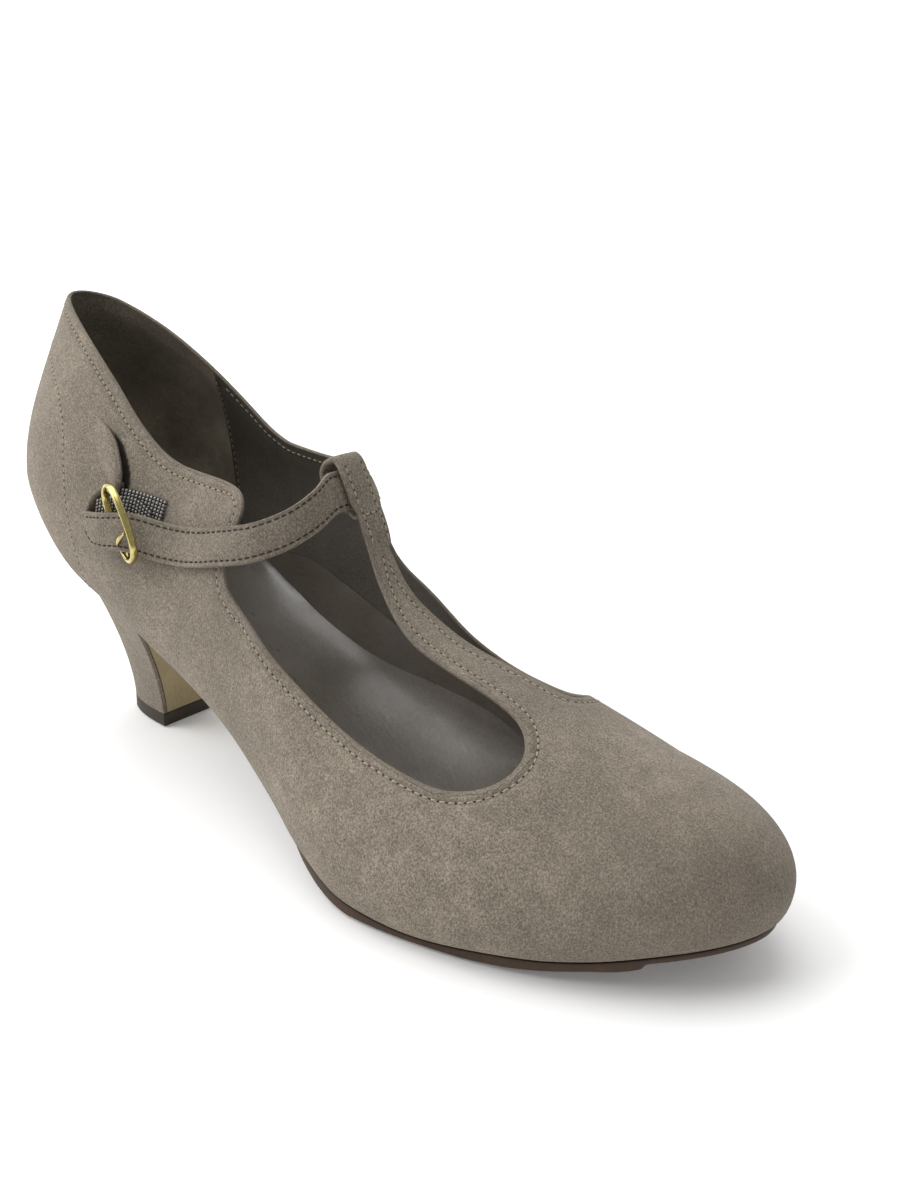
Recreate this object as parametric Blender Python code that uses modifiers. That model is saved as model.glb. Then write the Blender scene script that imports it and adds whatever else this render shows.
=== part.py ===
"""T-strap court shoe for the right foot, standing on its heel and forefoot.

+X points to the toe, +Y to the medial side, +Z up. Tables and sizes are in millimetres from the back of
the heel seat and the floor; the last step centres the shoe on its own box.
"""
import bmesh
import bpy
import numpy as np

MM = 0.001
GAP = 0.3

# Last: ends of the outline and the poles that its ribs run to
X_BACK = -5.5
X_HEEL_POLE = 40.0
X_TOE_POLE = 205.0
X_TIP = 243.6
HEEL_POWER = 2.2
TIP_SHIFT = 7.3
WALL = 1.8

# Half widths of the widest outline: at the heel, along the waist (x, half width) and at the ball
SIDES = {
    "lateral": {"sign": -1, "heel": 31.5, "waist": ((70, 31.5), (100, 33.4), (125, 38.4), (140, 42.6)),
                "ball_x": 157.0, "ball": 45.5, "toe_power": 1.83},
    "medial": {"sign": 1, "heel": 30.5, "waist": ((70, 28.5), (100, 29.0), (130, 34.0)),
               "ball_x": 164.0, "ball": 39.3, "toe_power": 1.98},
}
MEDIAL_ARCH = {"x": 100.0, "reach": 30.0, "tuck": 4.0}

# Columns: x, height of the feather line where upper and sole meet
FEATHER = ((-6, 55.8), (0, 55.3), (33, 50.0), (45, 46.5), (59, 40.8), (70, 35.8), (82, 31.5), (95, 27.0),
           (120, 16.5), (140, 8.2), (158, 3.6), (175, 2.4), (195, 3.9), (215, 6.5), (230, 9.5), (244, 11.8))
# Columns: x, height of the crown that the two sides lean to; from x 117 on it is the T-bar and the vamp
CROWN = ((-5, 152), (40, 128), (60, 115), (76, 106), (92, 102), (104, 99.5), (117, 94), (122, 85),
         (127, 75), (135, 65), (145, 58.5), (160, 53.3), (176, 49.3), (190, 45.9), (205, 42.2), (225, 37.5))
# Fall of the crown where the toe's ribs meet
TOE_FALL = 0.22
# Columns: x, how far the side stands out over the feather line
OVERHANG = ((-6, 15.0), (40, 5.2), (80, 6.8), (110, 5.6), (150, 4.0), (190, 5.0), (225, 3.9), (244, 3.5))
# Columns: x, power of the lower side's curve; below 1 the side tucks in straighter
TUCK = ((-6, 0.68), (40, 0.8), (75, 1.0), (244, 1.0))
# Columns: x, height of the widest line above the feather line
WIDEST = ((-6, 20.0), (40, 20.5), (70, 20.0), (100, 18.0), (160, 13.0), (200, 11.0), (244, 8.1))
# Columns: x, half width, height of the collar's edge
COLLAR = ((4.5, 0.0, 125.5), (10, 6.6, 124.3), (18, 10.5, 121.2), (30, 14.2, 115.5), (44, 17.0, 107.3),
          (60, 19.4, 96.2), (68, 19.6, 91.4), (76, 19.1, 89.2), (92, 18.6, 88.5), (110, 18.0, 88.0))
COLLAR_BACK_CURVE = 8.5
COLLAR_BLEND = (14.0, 24.0)
COLLAR_SPARE = 7.0
FORE_LEAN = 0.5
LEAN_BLEND = (92.0, 104.0)

# Cut-outs seen along a 45 degree line from each side. Columns: x, distance up that slanted plane
LATERAL_CUT = ((88, 49.6), (96.5, 48.4), (101, 44.8), (102, 41), (101, 33), (101.8, 28), (105, 24),
               (112.5, 20), (128, 12.4), (152, 5.2), (172, 3.2), (181.5, 5.7), (187, 12), (187.4, 19.5),
               (182, 26.3), (173, 30), (156, 32.7), (147, 34.6), (139, 39), (132, 45), (127, 51.2),
               (121.8, 58.5))
MEDIAL_CUT = ((88, 49.5), (100, 49.9), (105, 49.8), (107, 47), (107.2, 40), (106.3, 34), (107, 28),
              (110, 23), (116, 18.6), (126, 13.2), (138, 7), (151, 2.2), (164, 1.6), (173, 6.4), (179.5, 14.5),
              (182, 21.5), (180, 26.6), (170, 29.4), (162, 32.4), (154, 35.4), (145, 38), (136, 42.8), (130, 47),
              (126, 51.5), (121.8, 57.5))
CUT_SPAN = (30.0, 110.0)
CUT_BEHIND_BAR = ((121.3, 68), (88, 68))
EAR_ROOM = ((92, 93), (121, 93), (121, 190))

# T-bar loop round the ankle strap, in the plane square to the strap
LOOP_SEAT = (119.5, 1.0, 89.5)
LOOP_UP = (-0.465, 0.0, 0.885)
LOOP_OUT = (0.885, 0.0, 0.465)
LOOP_DEPTH = 3.3
LOOP_WIDTH = 7.4
LOOP_BAND = 1.6
LOOP_TOP = 7.4
LOOP_BOTTOM = 7.2
LOOP_ROOM = 1.5
LOOP_SLACK = 3.2
LOOP_SLACK_RUN = (-6.5, 1.5)
LOOP_POWER = 0.45

# Ankle strap: width, thickness and its run. It goes on from the medial quarter's front edge, in the same
# layer. On the lateral wall the columns are x, height of its middle
STRAP_WIDTH = 10.5
STRAP_THICK = 1.8
STRAP_FROM = (107.6, 83.4)
STRAP_MEDIAL_FREE = ((112.4, 12.4, 86.0),)
STRAP_LATERAL_FREE = ((116.8, -6.5, 87.7), (118.0, -13.0, 85.2), (115.8, -20.5, 81.6), (109.5, -26.6, 78.2))
STRAP_ON_LATERAL = ((101, 75.2), (90, 72.3), (80, 71.3), (70, 71.8), (60, 70.7), (55, 70.2), (50, 71.6))
# Half widths of its last sections, the pointed tip behind the buckle
STRAP_TIP = (5.0, 4.2, 1.4)

# Elastic webbing. Columns: x, height of its middle
ELASTIC = ((77, 80.4), (68, 80.7), (59.5, 80.1), (51.5, 78.4))
ELASTIC_HALF = 3.1
ELASTIC_THICK = 1.2

# Buckle
RING_SEAT = (66.2, 73.6)
RING_HALF = (10.6, 5.2)
RING_TILT = 0.72
RING_POWER = 2.6
WIRE = 1.4
RING_OFFSET = 5.8
RING_LEAN = 0.5
PRONG_WIRE = 1.1
PRONG_SEAT = -4.0

# Heel
BREAST_TOP = 59.0
BREAST_FOOT = 48.0
HEEL_FOOT_BACK = 26.2
HEEL_FOOT_HALF = 9.6
BACK_FLARE = 1.55
BREAST_FLARE = 1.5
HEEL_ROUND = 2.3
SEAT_INSET = 0.4
COVER = 1.2
LIFT = 4.0

# Outsole
SOLE_START = 59.9
# Columns: x, how far the sole's edge stands out from the feather line; at the waist it hides behind it
SOLE_EDGE = ((59, -2.6), (108, -2.6), (128, -1.0), (146, 0.8), (244, 0.8))
# Roll of the underside to the edge: its width and its rise
SOLE_ROLL = 9.0
SOLE_RISE = 0.6
# Columns: x, height of the sole's underside; the tread pad ends in a step at the waist and at the toe
TREAD_FROM = 112.0
SOLE_UNDER = ((59, 38.6), (70, 33.6), (82, 29.3), (95, 24.8), (112, 17.5), (112.5, 16.4), (120, 13.0),
              (132, 7.5), (140, 4.3), (147, 2.0), (153, 0.6), (158, 0.0), (186, 0.0), (196, 0.5), (206, 1.9),
              (214, 3.2), (225.5, 5.2), (226.3, 6.4), (230, 7.1), (244, 9.4))
INSOLE_THICK = 2.0
INSOLE_INSET = 1.6

# Colours from the photograph: red, green, blue, roughness, metallic
FINISH = {
    "upper": (0.235, 0.205, 0.17, 0.95, 0.0),
    "insole": (0.26, 0.23, 0.20, 0.45, 0.0),
    "outsole": (0.06, 0.045, 0.033, 0.6, 0.0),
    "heel_block": (0.33, 0.26, 0.13, 0.55, 0.0),
    "heel_cover": (0.235, 0.205, 0.17, 0.95, 0.0),
    "heel_top_lift": (0.03, 0.026, 0.02, 0.55, 0.0),
    "ankle_strap": (0.235, 0.205, 0.17, 0.95, 0.0),
    "elastic_tab": (0.12, 0.12, 0.12, 0.9, 0.0),
    "buckle_frame": (0.75, 0.62, 0.32, 0.25, 1.0),
    "buckle_prong": (0.75, 0.62, 0.32, 0.25, 1.0),
}


def smooth(table, x, column=1):
    """Monotone cubic curve through one column of a table."""
    rows = np.array(table, float)
    xs, ys = rows[:, 0], rows[:, column]
    step = np.diff(xs)
    rise = np.diff(ys) / step
    slope = np.concatenate(([rise[0]], np.zeros(len(xs) - 2), [rise[-1]]))
    for i in range(1, len(xs) - 1):
        if rise[i - 1] * rise[i] > 0:
            before, after = 2 * step[i] + step[i - 1], step[i] + 2 * step[i - 1]
            slope[i] = (before + after) / (before / rise[i - 1] + after / rise[i])
    x = np.clip(x, xs[0], xs[-1])
    i = int(np.clip(np.searchsorted(xs, x) - 1, 0, len(xs) - 2))
    s = (x - xs[i]) / step[i]
    start = (1 + 2 * s) * (1 - s) ** 2 * ys[i] + s * (1 - s) ** 2 * step[i] * slope[i]
    end = s * s * (3 - 2 * s) * ys[i + 1] + s * s * (s - 1) * step[i] * slope[i + 1]
    return start + end


def ease(x, start, end):
    """Smooth step from 0 at start to 1 at end."""
    k = np.clip((x - start) / (end - start), 0, 1)
    return k * k * (3 - 2 * k)


def through(points, parts):
    """Points of a smooth curve that passes through the given points."""
    p = np.array(points, float)
    p = np.vstack((2 * p[0] - p[1], p, 2 * p[-1] - p[-2]))
    run = []
    for i in range(1, len(p) - 2):
        for t in np.arange(parts) / parts:
            a, b, c, d = p[i - 1:i + 3]
            run.append(0.5 * (2 * b + (c - a) * t + (2 * a - 5 * b + 4 * c - d) * t ** 2
                              + (3 * b - a - 3 * c + d) * t ** 3))
    return np.array(run + [p[-2]])


def stations():
    """Places along the shoe where ribs stand, closer together at the T-bar and at both ends."""
    heel = X_BACK + (X_HEEL_POLE - X_BACK) * (1 - np.sin(np.linspace(np.pi / 2, 0, 9)) ** (2 / HEEL_POWER))
    waist = np.arange(48, 104, 8)
    bar = np.arange(104, 136, 4.5)
    vamp = np.arange(138, 200, 5.6)
    turn = np.linspace(0, np.pi / 2, 9)
    toe = X_TOE_POLE + (X_TIP - X_TOE_POLE) * np.sin(turn)
    return np.concatenate((heel, waist, bar, vamp, toe))


def half_width(x, side):
    """Half width of the widest outline at x, on one side."""
    c = SIDES[side]
    if x < X_HEEL_POLE:
        reach = (X_HEEL_POLE - x) / (X_HEEL_POLE - X_BACK)
        return c["heel"] * max(0.0, 1 - reach ** HEEL_POWER) ** (1 / HEEL_POWER)
    if x < c["ball_x"]:
        heel = ((X_HEEL_POLE - 20, c["heel"]), (X_HEEL_POLE, c["heel"]))
        ball = ((c["ball_x"], c["ball"]), (c["ball_x"] + 15, c["ball"]))
        return smooth(heel + c["waist"] + ball, x)
    reach = (x - c["ball_x"]) / (X_TIP - c["ball_x"])
    return c["ball"] * max(0.0, 1 - reach ** c["toe_power"]) ** (1 / c["toe_power"])


def collar_half(x):
    """Half width of the collar's edge: a parabola at the back, then its table."""
    back = np.sqrt(max(COLLAR_BACK_CURVE * (x - COLLAR[0][0]), 0))
    k = ease(x, *COLLAR_BLEND)
    return back * (1 - k) + smooth(COLLAR, x) * k


class Rib:
    """One section of the last, from the feather line up to the crown."""

    def __init__(self, x, side):
        c = SIDES[side]
        tip = TIP_SHIFT * max(0.0, (x - c["ball_x"]) / (X_TIP - c["ball_x"])) ** 2
        edge = np.array([x, c["sign"] * half_width(x, side) + tip])
        pole_x = np.clip(x, X_HEEL_POLE, X_TOE_POLE)
        pole_y = TIP_SHIFT / 2 * np.clip((pole_x - 120) / (X_TOE_POLE - 120), 0, 1)
        self.pole = np.array([pole_x, pole_y])
        self.reach = np.hypot(*(edge - self.pole))
        self.way = (edge - self.pole) / self.reach
        self.over = smooth(OVERHANG, x)
        if side == "medial":
            a = MEDIAL_ARCH
            self.over += a["tuck"] * np.exp(-((x - a["x"]) / a["reach"]) ** 2)
        self.tuck = smooth(TUCK, x)
        self.foot = smooth(FEATHER, x)
        self.wide = self.foot + smooth(WIDEST, x)
        self.crown = smooth(CROWN, x if x < X_HEEL_POLE else pole_x)
        self.top = self.crown
        self.lean = FORE_LEAN
        if x < LEAN_BLEND[1]:
            self.lean_to_collar(x)

    def lean_to_collar(self, x):
        """Works out the side's lean so that it passes through the collar's edge."""
        low, high = 0.02, 0.999
        for _ in range(40):
            share = (low + high) / 2
            px, py = self.pole + self.way * self.reach * share
            if px > COLLAR[0][0] and abs(py) < collar_half(px):
                low = share
            else:
                high = share
        rise = (smooth(COLLAR, px, 2) - self.wide) / (self.crown - self.wide)
        k = ease(x, *LEAN_BLEND)
        self.lean = np.log(share) / np.log(1 - rise ** 2) * (1 - k) + FORE_LEAN * k
        self.top = min(self.crown, smooth(COLLAR, px, 2) + COLLAR_SPARE)

    def out(self, z):
        """Distance from the pole at height z."""
        if z < self.wide:
            turn = np.arccos(np.clip(1 - (z - self.foot) / (self.wide - self.foot), -1, 1))
            return self.reach - self.over * (1 - np.sin(turn)) ** self.tuck
        rise = np.clip((z - self.wide) / (self.crown - self.wide), 0, 1)
        return self.reach * (1 - rise ** 2) ** self.lean

    def point(self, z):
        out = self.out(z)
        px, py = self.pole + self.way * out
        if px > X_TOE_POLE and z > self.wide:
            share = out / self.reach
            z = z - TOE_FALL * self.way[0] * out * (1 - share) ** 2
        return np.array([px, py, z])

    def feather(self, outset):
        """The feather line's place in plan, moved outwards."""
        return self.pole + self.way * (self.reach - self.over + outset)

    def run(self, low, high):
        """Points from the feather line to the top."""
        below = self.foot + (self.wide - self.foot) * (1 - np.cos(np.linspace(0, np.pi / 2, low, False)))
        turn = np.linspace(0, np.pi / 2, high)
        above = self.wide + (self.top - self.wide) * np.sin(turn)
        return [self.point(z) for z in np.concatenate((below, above))]


def wall(x, z, side, offset):
    """Place on a quarter's outer face, with its upward and outward directions."""
    rib = Rib(x, side)
    here = rib.point(z)
    up = rib.point(z + 0.5) - rib.point(z - 0.5)
    along = Rib(x + 0.5, side).point(z) - Rib(x - 0.5, side).point(z)
    out = np.cross(along, up) * (1 if side == "lateral" else -1)
    up, out = up / np.linalg.norm(up), out / np.linalg.norm(out)
    return here + out * offset, up, out


def material(name):
    red, green, blue, rough, metal = FINISH[name]
    mat = bpy.data.materials.new(name)
    mat.use_nodes = True
    shader = mat.node_tree.nodes["Principled BSDF"]
    shader.inputs["Base Color"].default_value = (red, green, blue, 1)
    shader.inputs["Roughness"].default_value = rough
    shader.inputs["Metallic"].default_value = metal
    return mat


def collection(name):
    group = bpy.data.collections.new(name)
    bpy.context.scene.collection.children.link(group)
    return group


def new_object(name, mesh, cutter=False):
    """Links a mesh as a part of the shoe, or as a hidden cutter."""
    obj = bpy.data.objects.new(name, mesh)
    (CUTTERS if cutter else SHOE).objects.link(obj)
    if cutter:
        obj.hide_render = True
        obj.display_type = "WIRE"
    else:
        obj.data.materials.append(material(name))
        obj.data.shade_smooth()
        obj.data.set_sharp_from_angle(angle=0.7)
        obj.parent = ROOT
    return obj


def loft(name, rings, ring_closed=True, run_closed=False, caps=True, cutter=False, outward=True):
    """Skin over rings of points, in millimetres."""
    bm = bmesh.new()
    rows = [[bm.verts.new(np.array(p) * MM) for p in ring] for ring in rings]
    count = len(rows[0])
    last = len(rows) if run_closed else len(rows) - 1
    for i in range(last):
        a, b = rows[i], rows[(i + 1) % len(rows)]
        for j in range(count if ring_closed else count - 1):
            k = (j + 1) % count
            bm.faces.new((a[j], a[k], b[k], b[j]))
    if caps and not run_closed:
        bm.faces.new(rows[0])
        bm.faces.new(rows[-1])
    bmesh.ops.remove_doubles(bm, verts=bm.verts, dist=0.00002)
    bmesh.ops.recalc_face_normals(bm, faces=bm.faces)
    if not outward:
        bmesh.ops.reverse_faces(bm, faces=bm.faces)
    mesh = bpy.data.meshes.new(name)
    bm.to_mesh(mesh)
    bm.free()
    return new_object(name, mesh, cutter)


def boolean(obj, tool, operation):
    cut = obj.modifiers.new(tool.name, "BOOLEAN")
    cut.object = tool
    cut.operation = operation


def upper():
    """Hollow shell of vamp, quarters and T-bar, cut open at the collar and beside the T-bar."""
    xs = stations()
    ribs = [Rib(x, "lateral") for x in xs] + [Rib(x, "medial") for x in xs[-2:0:-1]]
    shell = loft("upper", [rib.run(4, 13) for rib in ribs], ring_closed=False, run_closed=True)
    thick = shell.modifiers.new("wall", "SOLIDIFY")
    thick.thickness = WALL * MM
    thick.offset = -1
    thick.use_even_offset = True
    thick.use_quality_normals = True
    boolean(shell, collar_cutter(), "DIFFERENCE")
    boolean(shell, slanted_cutter("cut_lateral", LATERAL_CUT, -1), "DIFFERENCE")
    boolean(shell, slanted_cutter("cut_medial", MEDIAL_CUT, 1), "DIFFERENCE")
    boolean(shell, bar_loop(), "UNION")


def collar_cutter():
    """Prism above the topline, across the whole heel."""
    line = [(x, smooth(COLLAR, x, 2)) for x in np.linspace(COLLAR[0][0], 92, 24)]
    line = [(-30, COLLAR[0][2] + 1)] + line + list(EAR_ROOM) + [(-30, 190)]
    return loft("cut_collar", [[(x, y, z) for x, z in line] for y in (-60, 60)], cutter=True)


def slanted_cutter(name, table, sign):
    """Prism through one side along a 45 degree line, so that it leaves the other side whole."""
    line = [tuple(p) for p in through(table, 3)] + list(CUT_BEHIND_BAR)
    half = np.sqrt(0.5)
    rings = [[(x, sign * (w - s) * half, (w + s) * half) for x, s in line] for w in CUT_SPAN]
    return loft(name, rings, cutter=True)


def loop_frame():
    """Middle of the strap in the loop, with the loop's upward and outward directions."""
    up, out = np.array(LOOP_UP), np.array(LOOP_OUT)
    return np.array(LOOP_SEAT) - out * LOOP_DEPTH, up, out


def bar_loop():
    """Band that the T-bar's end makes round the strap."""
    half = LOOP_WIDTH / 2
    rings = []
    for turn in np.linspace(0, 2 * np.pi, 32, False):
        inner, outer = loop_point(turn, 0), loop_point(turn, LOOP_BAND)
        corners = ((inner, -half), (inner, half), (outer, half), (outer, -half))
        rings.append([p + np.array([0, y, 0]) for p, y in corners])
    return loft("bar_loop", rings, run_closed=True, cutter=True)


def loop_point(turn, band):
    """Point round the strap, close to its front face and slack behind it."""
    middle, up, out = loop_frame()
    c, s = np.cos(turn), np.sin(turn)
    t = np.sign(c) * abs(c) ** LOOP_POWER * ((LOOP_TOP if c > 0 else LOOP_BOTTOM) + band)
    room = LOOP_ROOM if s > 0 else LOOP_ROOM + LOOP_SLACK * ease(t, *LOOP_SLACK_RUN)
    return middle + up * t + out * np.sign(s) * abs(s) ** LOOP_POWER * (room + band)


def band_section(middle, up, out, half, thick):
    """Flat section of a strap, with its corners taken off."""
    edge, face = half - thick / 4, thick / 4
    corners = ((half, -face), (half, face), (edge, thick / 2), (-edge, thick / 2),
               (-half, face), (-half, -face), (-edge, -thick / 2), (edge, -thick / 2))
    return [middle + up * u + out * n for u, n in corners]


def turned(a, b, share):
    v = a * (1 - share) + b * share
    return v / np.linalg.norm(v)


def strap_run():
    """Sections' middles and directions from the medial quarter, through the loop, to the lateral wall."""
    offset = GAP + STRAP_THICK / 2
    start, start_up, start_out = wall(*STRAP_FROM, "medial", -WALL / 2)
    lateral = [wall(x, z, "lateral", offset) for x, z in STRAP_ON_LATERAL]
    middle, up, out = loop_frame()
    side = np.array([0, LOOP_WIDTH / 2 + 0.6, 0])
    knots = [(start, start_up, start_out)]
    for k, p in enumerate(STRAP_MEDIAL_FREE):
        share = (k + 1) / (len(STRAP_MEDIAL_FREE) + 0.6)
        knots.append((np.array(p), turned(start_up, up, share), turned(start_out, out, share)))
    knots += [(middle + side, up, out), (middle, up, out), (middle - side, up, out)]
    for k, p in enumerate(STRAP_LATERAL_FREE):
        share = (k + 0.6) / (len(STRAP_LATERAL_FREE) + 0.2)
        knots.append((np.array(p), turned(up, lateral[0][1], share), turned(out, lateral[0][2], share)))
    return knots + lateral


def squared(up, out):
    """Outward direction made square to the upward one."""
    out = out - up * np.dot(out, up)
    return out / np.linalg.norm(out)


def ankle_strap():
    """Strap from the medial quarter to its pointed tip."""
    knots = strap_run()
    runs = [through([k[i] for k in knots], 3) for i in range(3)]
    halves = [STRAP_WIDTH / 2] * (len(knots) - len(STRAP_TIP)) + list(STRAP_TIP)
    halves = through([(k, half) for k, half in enumerate(halves)], 3)[:, 1]
    rings = []
    for middle, up, out, half in zip(*runs, halves):
        up = up / np.linalg.norm(up)
        rings.append(band_section(middle, up, squared(up, out), half, STRAP_THICK))
    loft("ankle_strap", rings)


def elastic_tab():
    """Webbing sewn on the lateral quarter, above the strap."""
    rings = []
    for x, z in through(ELASTIC, 4):
        middle, up, out = wall(x, z, "lateral", GAP + ELASTIC_THICK / 2)
        rings.append(band_section(middle, up, out, ELASTIC_HALF, ELASTIC_THICK))
    loft("elastic_tab", rings)


def buckle_point(along, across, lift):
    """Place in the buckle's leaning plane: along its length, across it, and off that plane."""
    x, z = RING_SEAT
    middle, up, out = wall(x, z, "lateral", RING_OFFSET)
    front = np.cross(up, out)
    front = front * np.sign(front[0])
    length = up * np.cos(RING_TILT) - front * np.sin(RING_TILT)
    width = front * np.cos(RING_TILT) + up * np.sin(RING_TILT)
    raised = width * np.cos(RING_LEAN) + out * np.sin(RING_LEAN)
    square = out * np.cos(RING_LEAN) - width * np.sin(RING_LEAN)
    return middle + length * along + raised * across + square * lift


def wire_mesh(name, points, width, closed):
    """Round wire along points, as a mesh."""
    curve = bpy.data.curves.new(name, "CURVE")
    curve.dimensions = "3D"
    curve.bevel_depth = width / 2 * MM
    curve.bevel_resolution = 2
    curve.use_fill_caps = True
    line = curve.splines.new("POLY")
    line.points.add(len(points) - 1)
    for spot, p in zip(line.points, points):
        spot.co = (*(np.array(p) * MM), 1)
    line.use_cyclic_u = closed
    guide = bpy.data.objects.new(name, curve)
    bpy.context.scene.collection.objects.link(guide)
    bpy.context.view_layer.update()
    mesh = bpy.data.meshes.new_from_object(guide.evaluated_get(bpy.context.evaluated_depsgraph_get()))
    bpy.data.objects.remove(guide)
    bm = bmesh.new()
    bm.from_mesh(mesh)
    bmesh.ops.remove_doubles(bm, verts=bm.verts, dist=0.00001)
    bmesh.ops.recalc_face_normals(bm, faces=bm.faces)
    bm.to_mesh(mesh)
    bm.free()
    mesh.materials.clear()
    return mesh


def buckle():
    """Oval ring with its bar, and the prong that lies over the strap."""
    oval = []
    for turn in np.linspace(0, 2 * np.pi, 26, False):
        c, s = np.cos(turn), np.sin(turn)
        along = RING_HALF[0] * np.sign(c) * abs(c) ** (2 / RING_POWER)
        across = RING_HALF[1] * np.sign(s) * abs(s) ** (2 / RING_POWER)
        oval.append(buckle_point(along, across, 0))
    ring = new_object("buckle_frame", wire_mesh("buckle_frame", oval, WIRE, True))
    bar = [buckle_point(RING_HALF[0] * k, 0, 0) for k in (-1, 0, 1)]
    boolean(ring, new_object("buckle_bar", wire_mesh("buckle_bar", bar, WIRE * 0.8, False), True), "UNION")
    rise = WIRE / 2 + PRONG_WIRE / 2 + GAP
    pin = [buckle_point(PRONG_SEAT, RING_HALF[1] * k, rise) for k in (0.35, -0.3, -0.95)]
    new_object("buckle_prong", wire_mesh("buckle_prong", pin, PRONG_WIRE, False))


def heel_line(share, inset, steps=15):
    """Half-round outline of the heel at a share of its height, from the lateral to the medial breast."""
    line = []
    for turn in np.linspace(-np.pi / 2, np.pi / 2, steps):
        c, s = abs(np.cos(turn)) ** (2 / HEEL_ROUND), np.sign(turn) * abs(np.sin(turn)) ** (2 / HEEL_ROUND)
        side = "lateral" if turn < 0 else "medial"
        seat_back = Rib(X_BACK, side).feather(-SEAT_INSET)[0]
        seat_half = abs(Rib(X_HEEL_POLE, side).feather(-SEAT_INSET)[1])
        foot = outline_point(BREAST_FOOT, HEEL_FOOT_BACK + inset, HEEL_FOOT_HALF - inset, c, s)
        seat = outline_point(BREAST_TOP, seat_back + inset, seat_half - inset, c, s)
        flare = share ** (BREAST_FLARE + (BACK_FLARE - BREAST_FLARE) * c)
        line.append(foot + (seat - foot) * flare)
    return line


def outline_point(front, back, half, c, s):
    """Point of a half-round outline with a straight front."""
    return np.array([front - (front - back) * c, half * s])


def heel_rings(inset, rows=9):
    """Outlines of the heel from the lift up to the sloping seat."""
    rings = []
    for share in np.linspace(0, 1, rows):
        ring = []
        for (x, y), (seat_x, _) in zip(heel_line(share, inset), heel_line(1, inset)):
            foot, seat = LIFT + GAP, smooth(FEATHER, seat_x) - GAP
            ring.append((x, y, foot + (seat - foot) * share))
        rings.append(ring)
    return rings


def heel():
    """Core with the bare breast, suede cover round it, and the lift under both."""
    loft("heel_block", heel_rings(COVER + GAP))
    outer, inner = heel_rings(0), heel_rings(COVER)
    loft("heel_cover", [a + b[::-1] for a, b in zip(outer, inner)])
    lift = [[(x, y, z) for x, y in heel_line(0, 0)] for z in (0, LIFT)]
    loft("heel_top_lift", lift)


def plate(name, xs, section):
    """Plate along the feather line. A section lists the outsets and heights of one side at x, from below."""
    rings = []
    for x in xs:
        sides = [[np.append(Rib(x, side).feather(o), z) for o, z in section(x)] for side in SIDES]
        rings.append(sides[0] + sides[1][::-1])
    return loft(name, rings)


def sole_section(x):
    edge, low = smooth(SOLE_EDGE, x), smooth(SOLE_UNDER, x)
    return (edge - SOLE_ROLL, low), (edge, low + SOLE_RISE), (edge, smooth(FEATHER, x) - GAP)


def insole_section(x):
    foot = smooth(FEATHER, x)
    return (-INSOLE_INSET, foot), (-INSOLE_INSET, foot + INSOLE_THICK)


def sole_and_insole():
    xs = stations()
    steps = [x for x, _ in SOLE_UNDER if TREAD_FROM <= x < X_TIP - SOLE_ROLL]
    along = np.unique(np.concatenate(([SOLE_START], xs[xs > SOLE_START + 4], steps)))
    plate("outsole", along, sole_section)
    plate("insole", xs, insole_section)


def centre_on_box():
    """Moves the shoe so that its box's bottom centre is the origin."""
    bpy.context.view_layer.update()
    graph = bpy.context.evaluated_depsgraph_get()
    corners = []
    for obj in SHOE.objects:
        if obj.type == "MESH":
            mesh = obj.evaluated_get(graph).data
            places = np.empty(len(mesh.vertices) * 3)
            mesh.vertices.foreach_get("co", places)
            corners.append(places.reshape(-1, 3))
    places = np.vstack(corners)
    middle = (places.min(axis=0) + places.max(axis=0)) / 2
    ROOT.location = (-middle[0], -middle[1], 0)
    for tool in CUTTERS.objects:
        tool.parent = ROOT


for old in list(bpy.data.objects):
    bpy.data.objects.remove(old)
SHOE = collection("t_strap_shoe")
CUTTERS = collection("cutters")
ROOT = bpy.data.objects.new("shoe_frame", None)
SHOE.objects.link(ROOT)
upper()
sole_and_insole()
heel()
ankle_strap()
elastic_tab()
buckle()
centre_on_box()
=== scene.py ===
"""Looks of the T-strap court shoe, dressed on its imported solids.

Tables are in millimetres from the back of the heel seat and the floor, as in the part's source:
+X to the toe, +Y to the medial side, +Z up. SHIFT brings them to the row's frame.
"""

import bmesh
import bpy
import numpy as np
from mathutils import Matrix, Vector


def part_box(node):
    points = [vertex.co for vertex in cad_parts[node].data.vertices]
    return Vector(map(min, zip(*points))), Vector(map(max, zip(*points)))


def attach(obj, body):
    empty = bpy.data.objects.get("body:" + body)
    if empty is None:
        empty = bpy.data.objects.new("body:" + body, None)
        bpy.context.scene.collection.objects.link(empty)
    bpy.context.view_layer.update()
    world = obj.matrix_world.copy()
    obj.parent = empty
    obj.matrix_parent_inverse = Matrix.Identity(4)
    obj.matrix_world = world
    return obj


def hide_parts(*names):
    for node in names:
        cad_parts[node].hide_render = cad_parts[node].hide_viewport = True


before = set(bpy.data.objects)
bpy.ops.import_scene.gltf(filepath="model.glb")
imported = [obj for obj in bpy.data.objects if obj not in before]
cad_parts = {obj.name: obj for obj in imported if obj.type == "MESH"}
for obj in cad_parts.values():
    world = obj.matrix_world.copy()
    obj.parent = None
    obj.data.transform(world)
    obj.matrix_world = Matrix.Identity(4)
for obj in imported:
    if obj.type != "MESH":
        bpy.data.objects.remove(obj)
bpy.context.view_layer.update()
MM = 0.001
LIFT_LOW, LIFT_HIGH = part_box("heel_top_lift")

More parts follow.
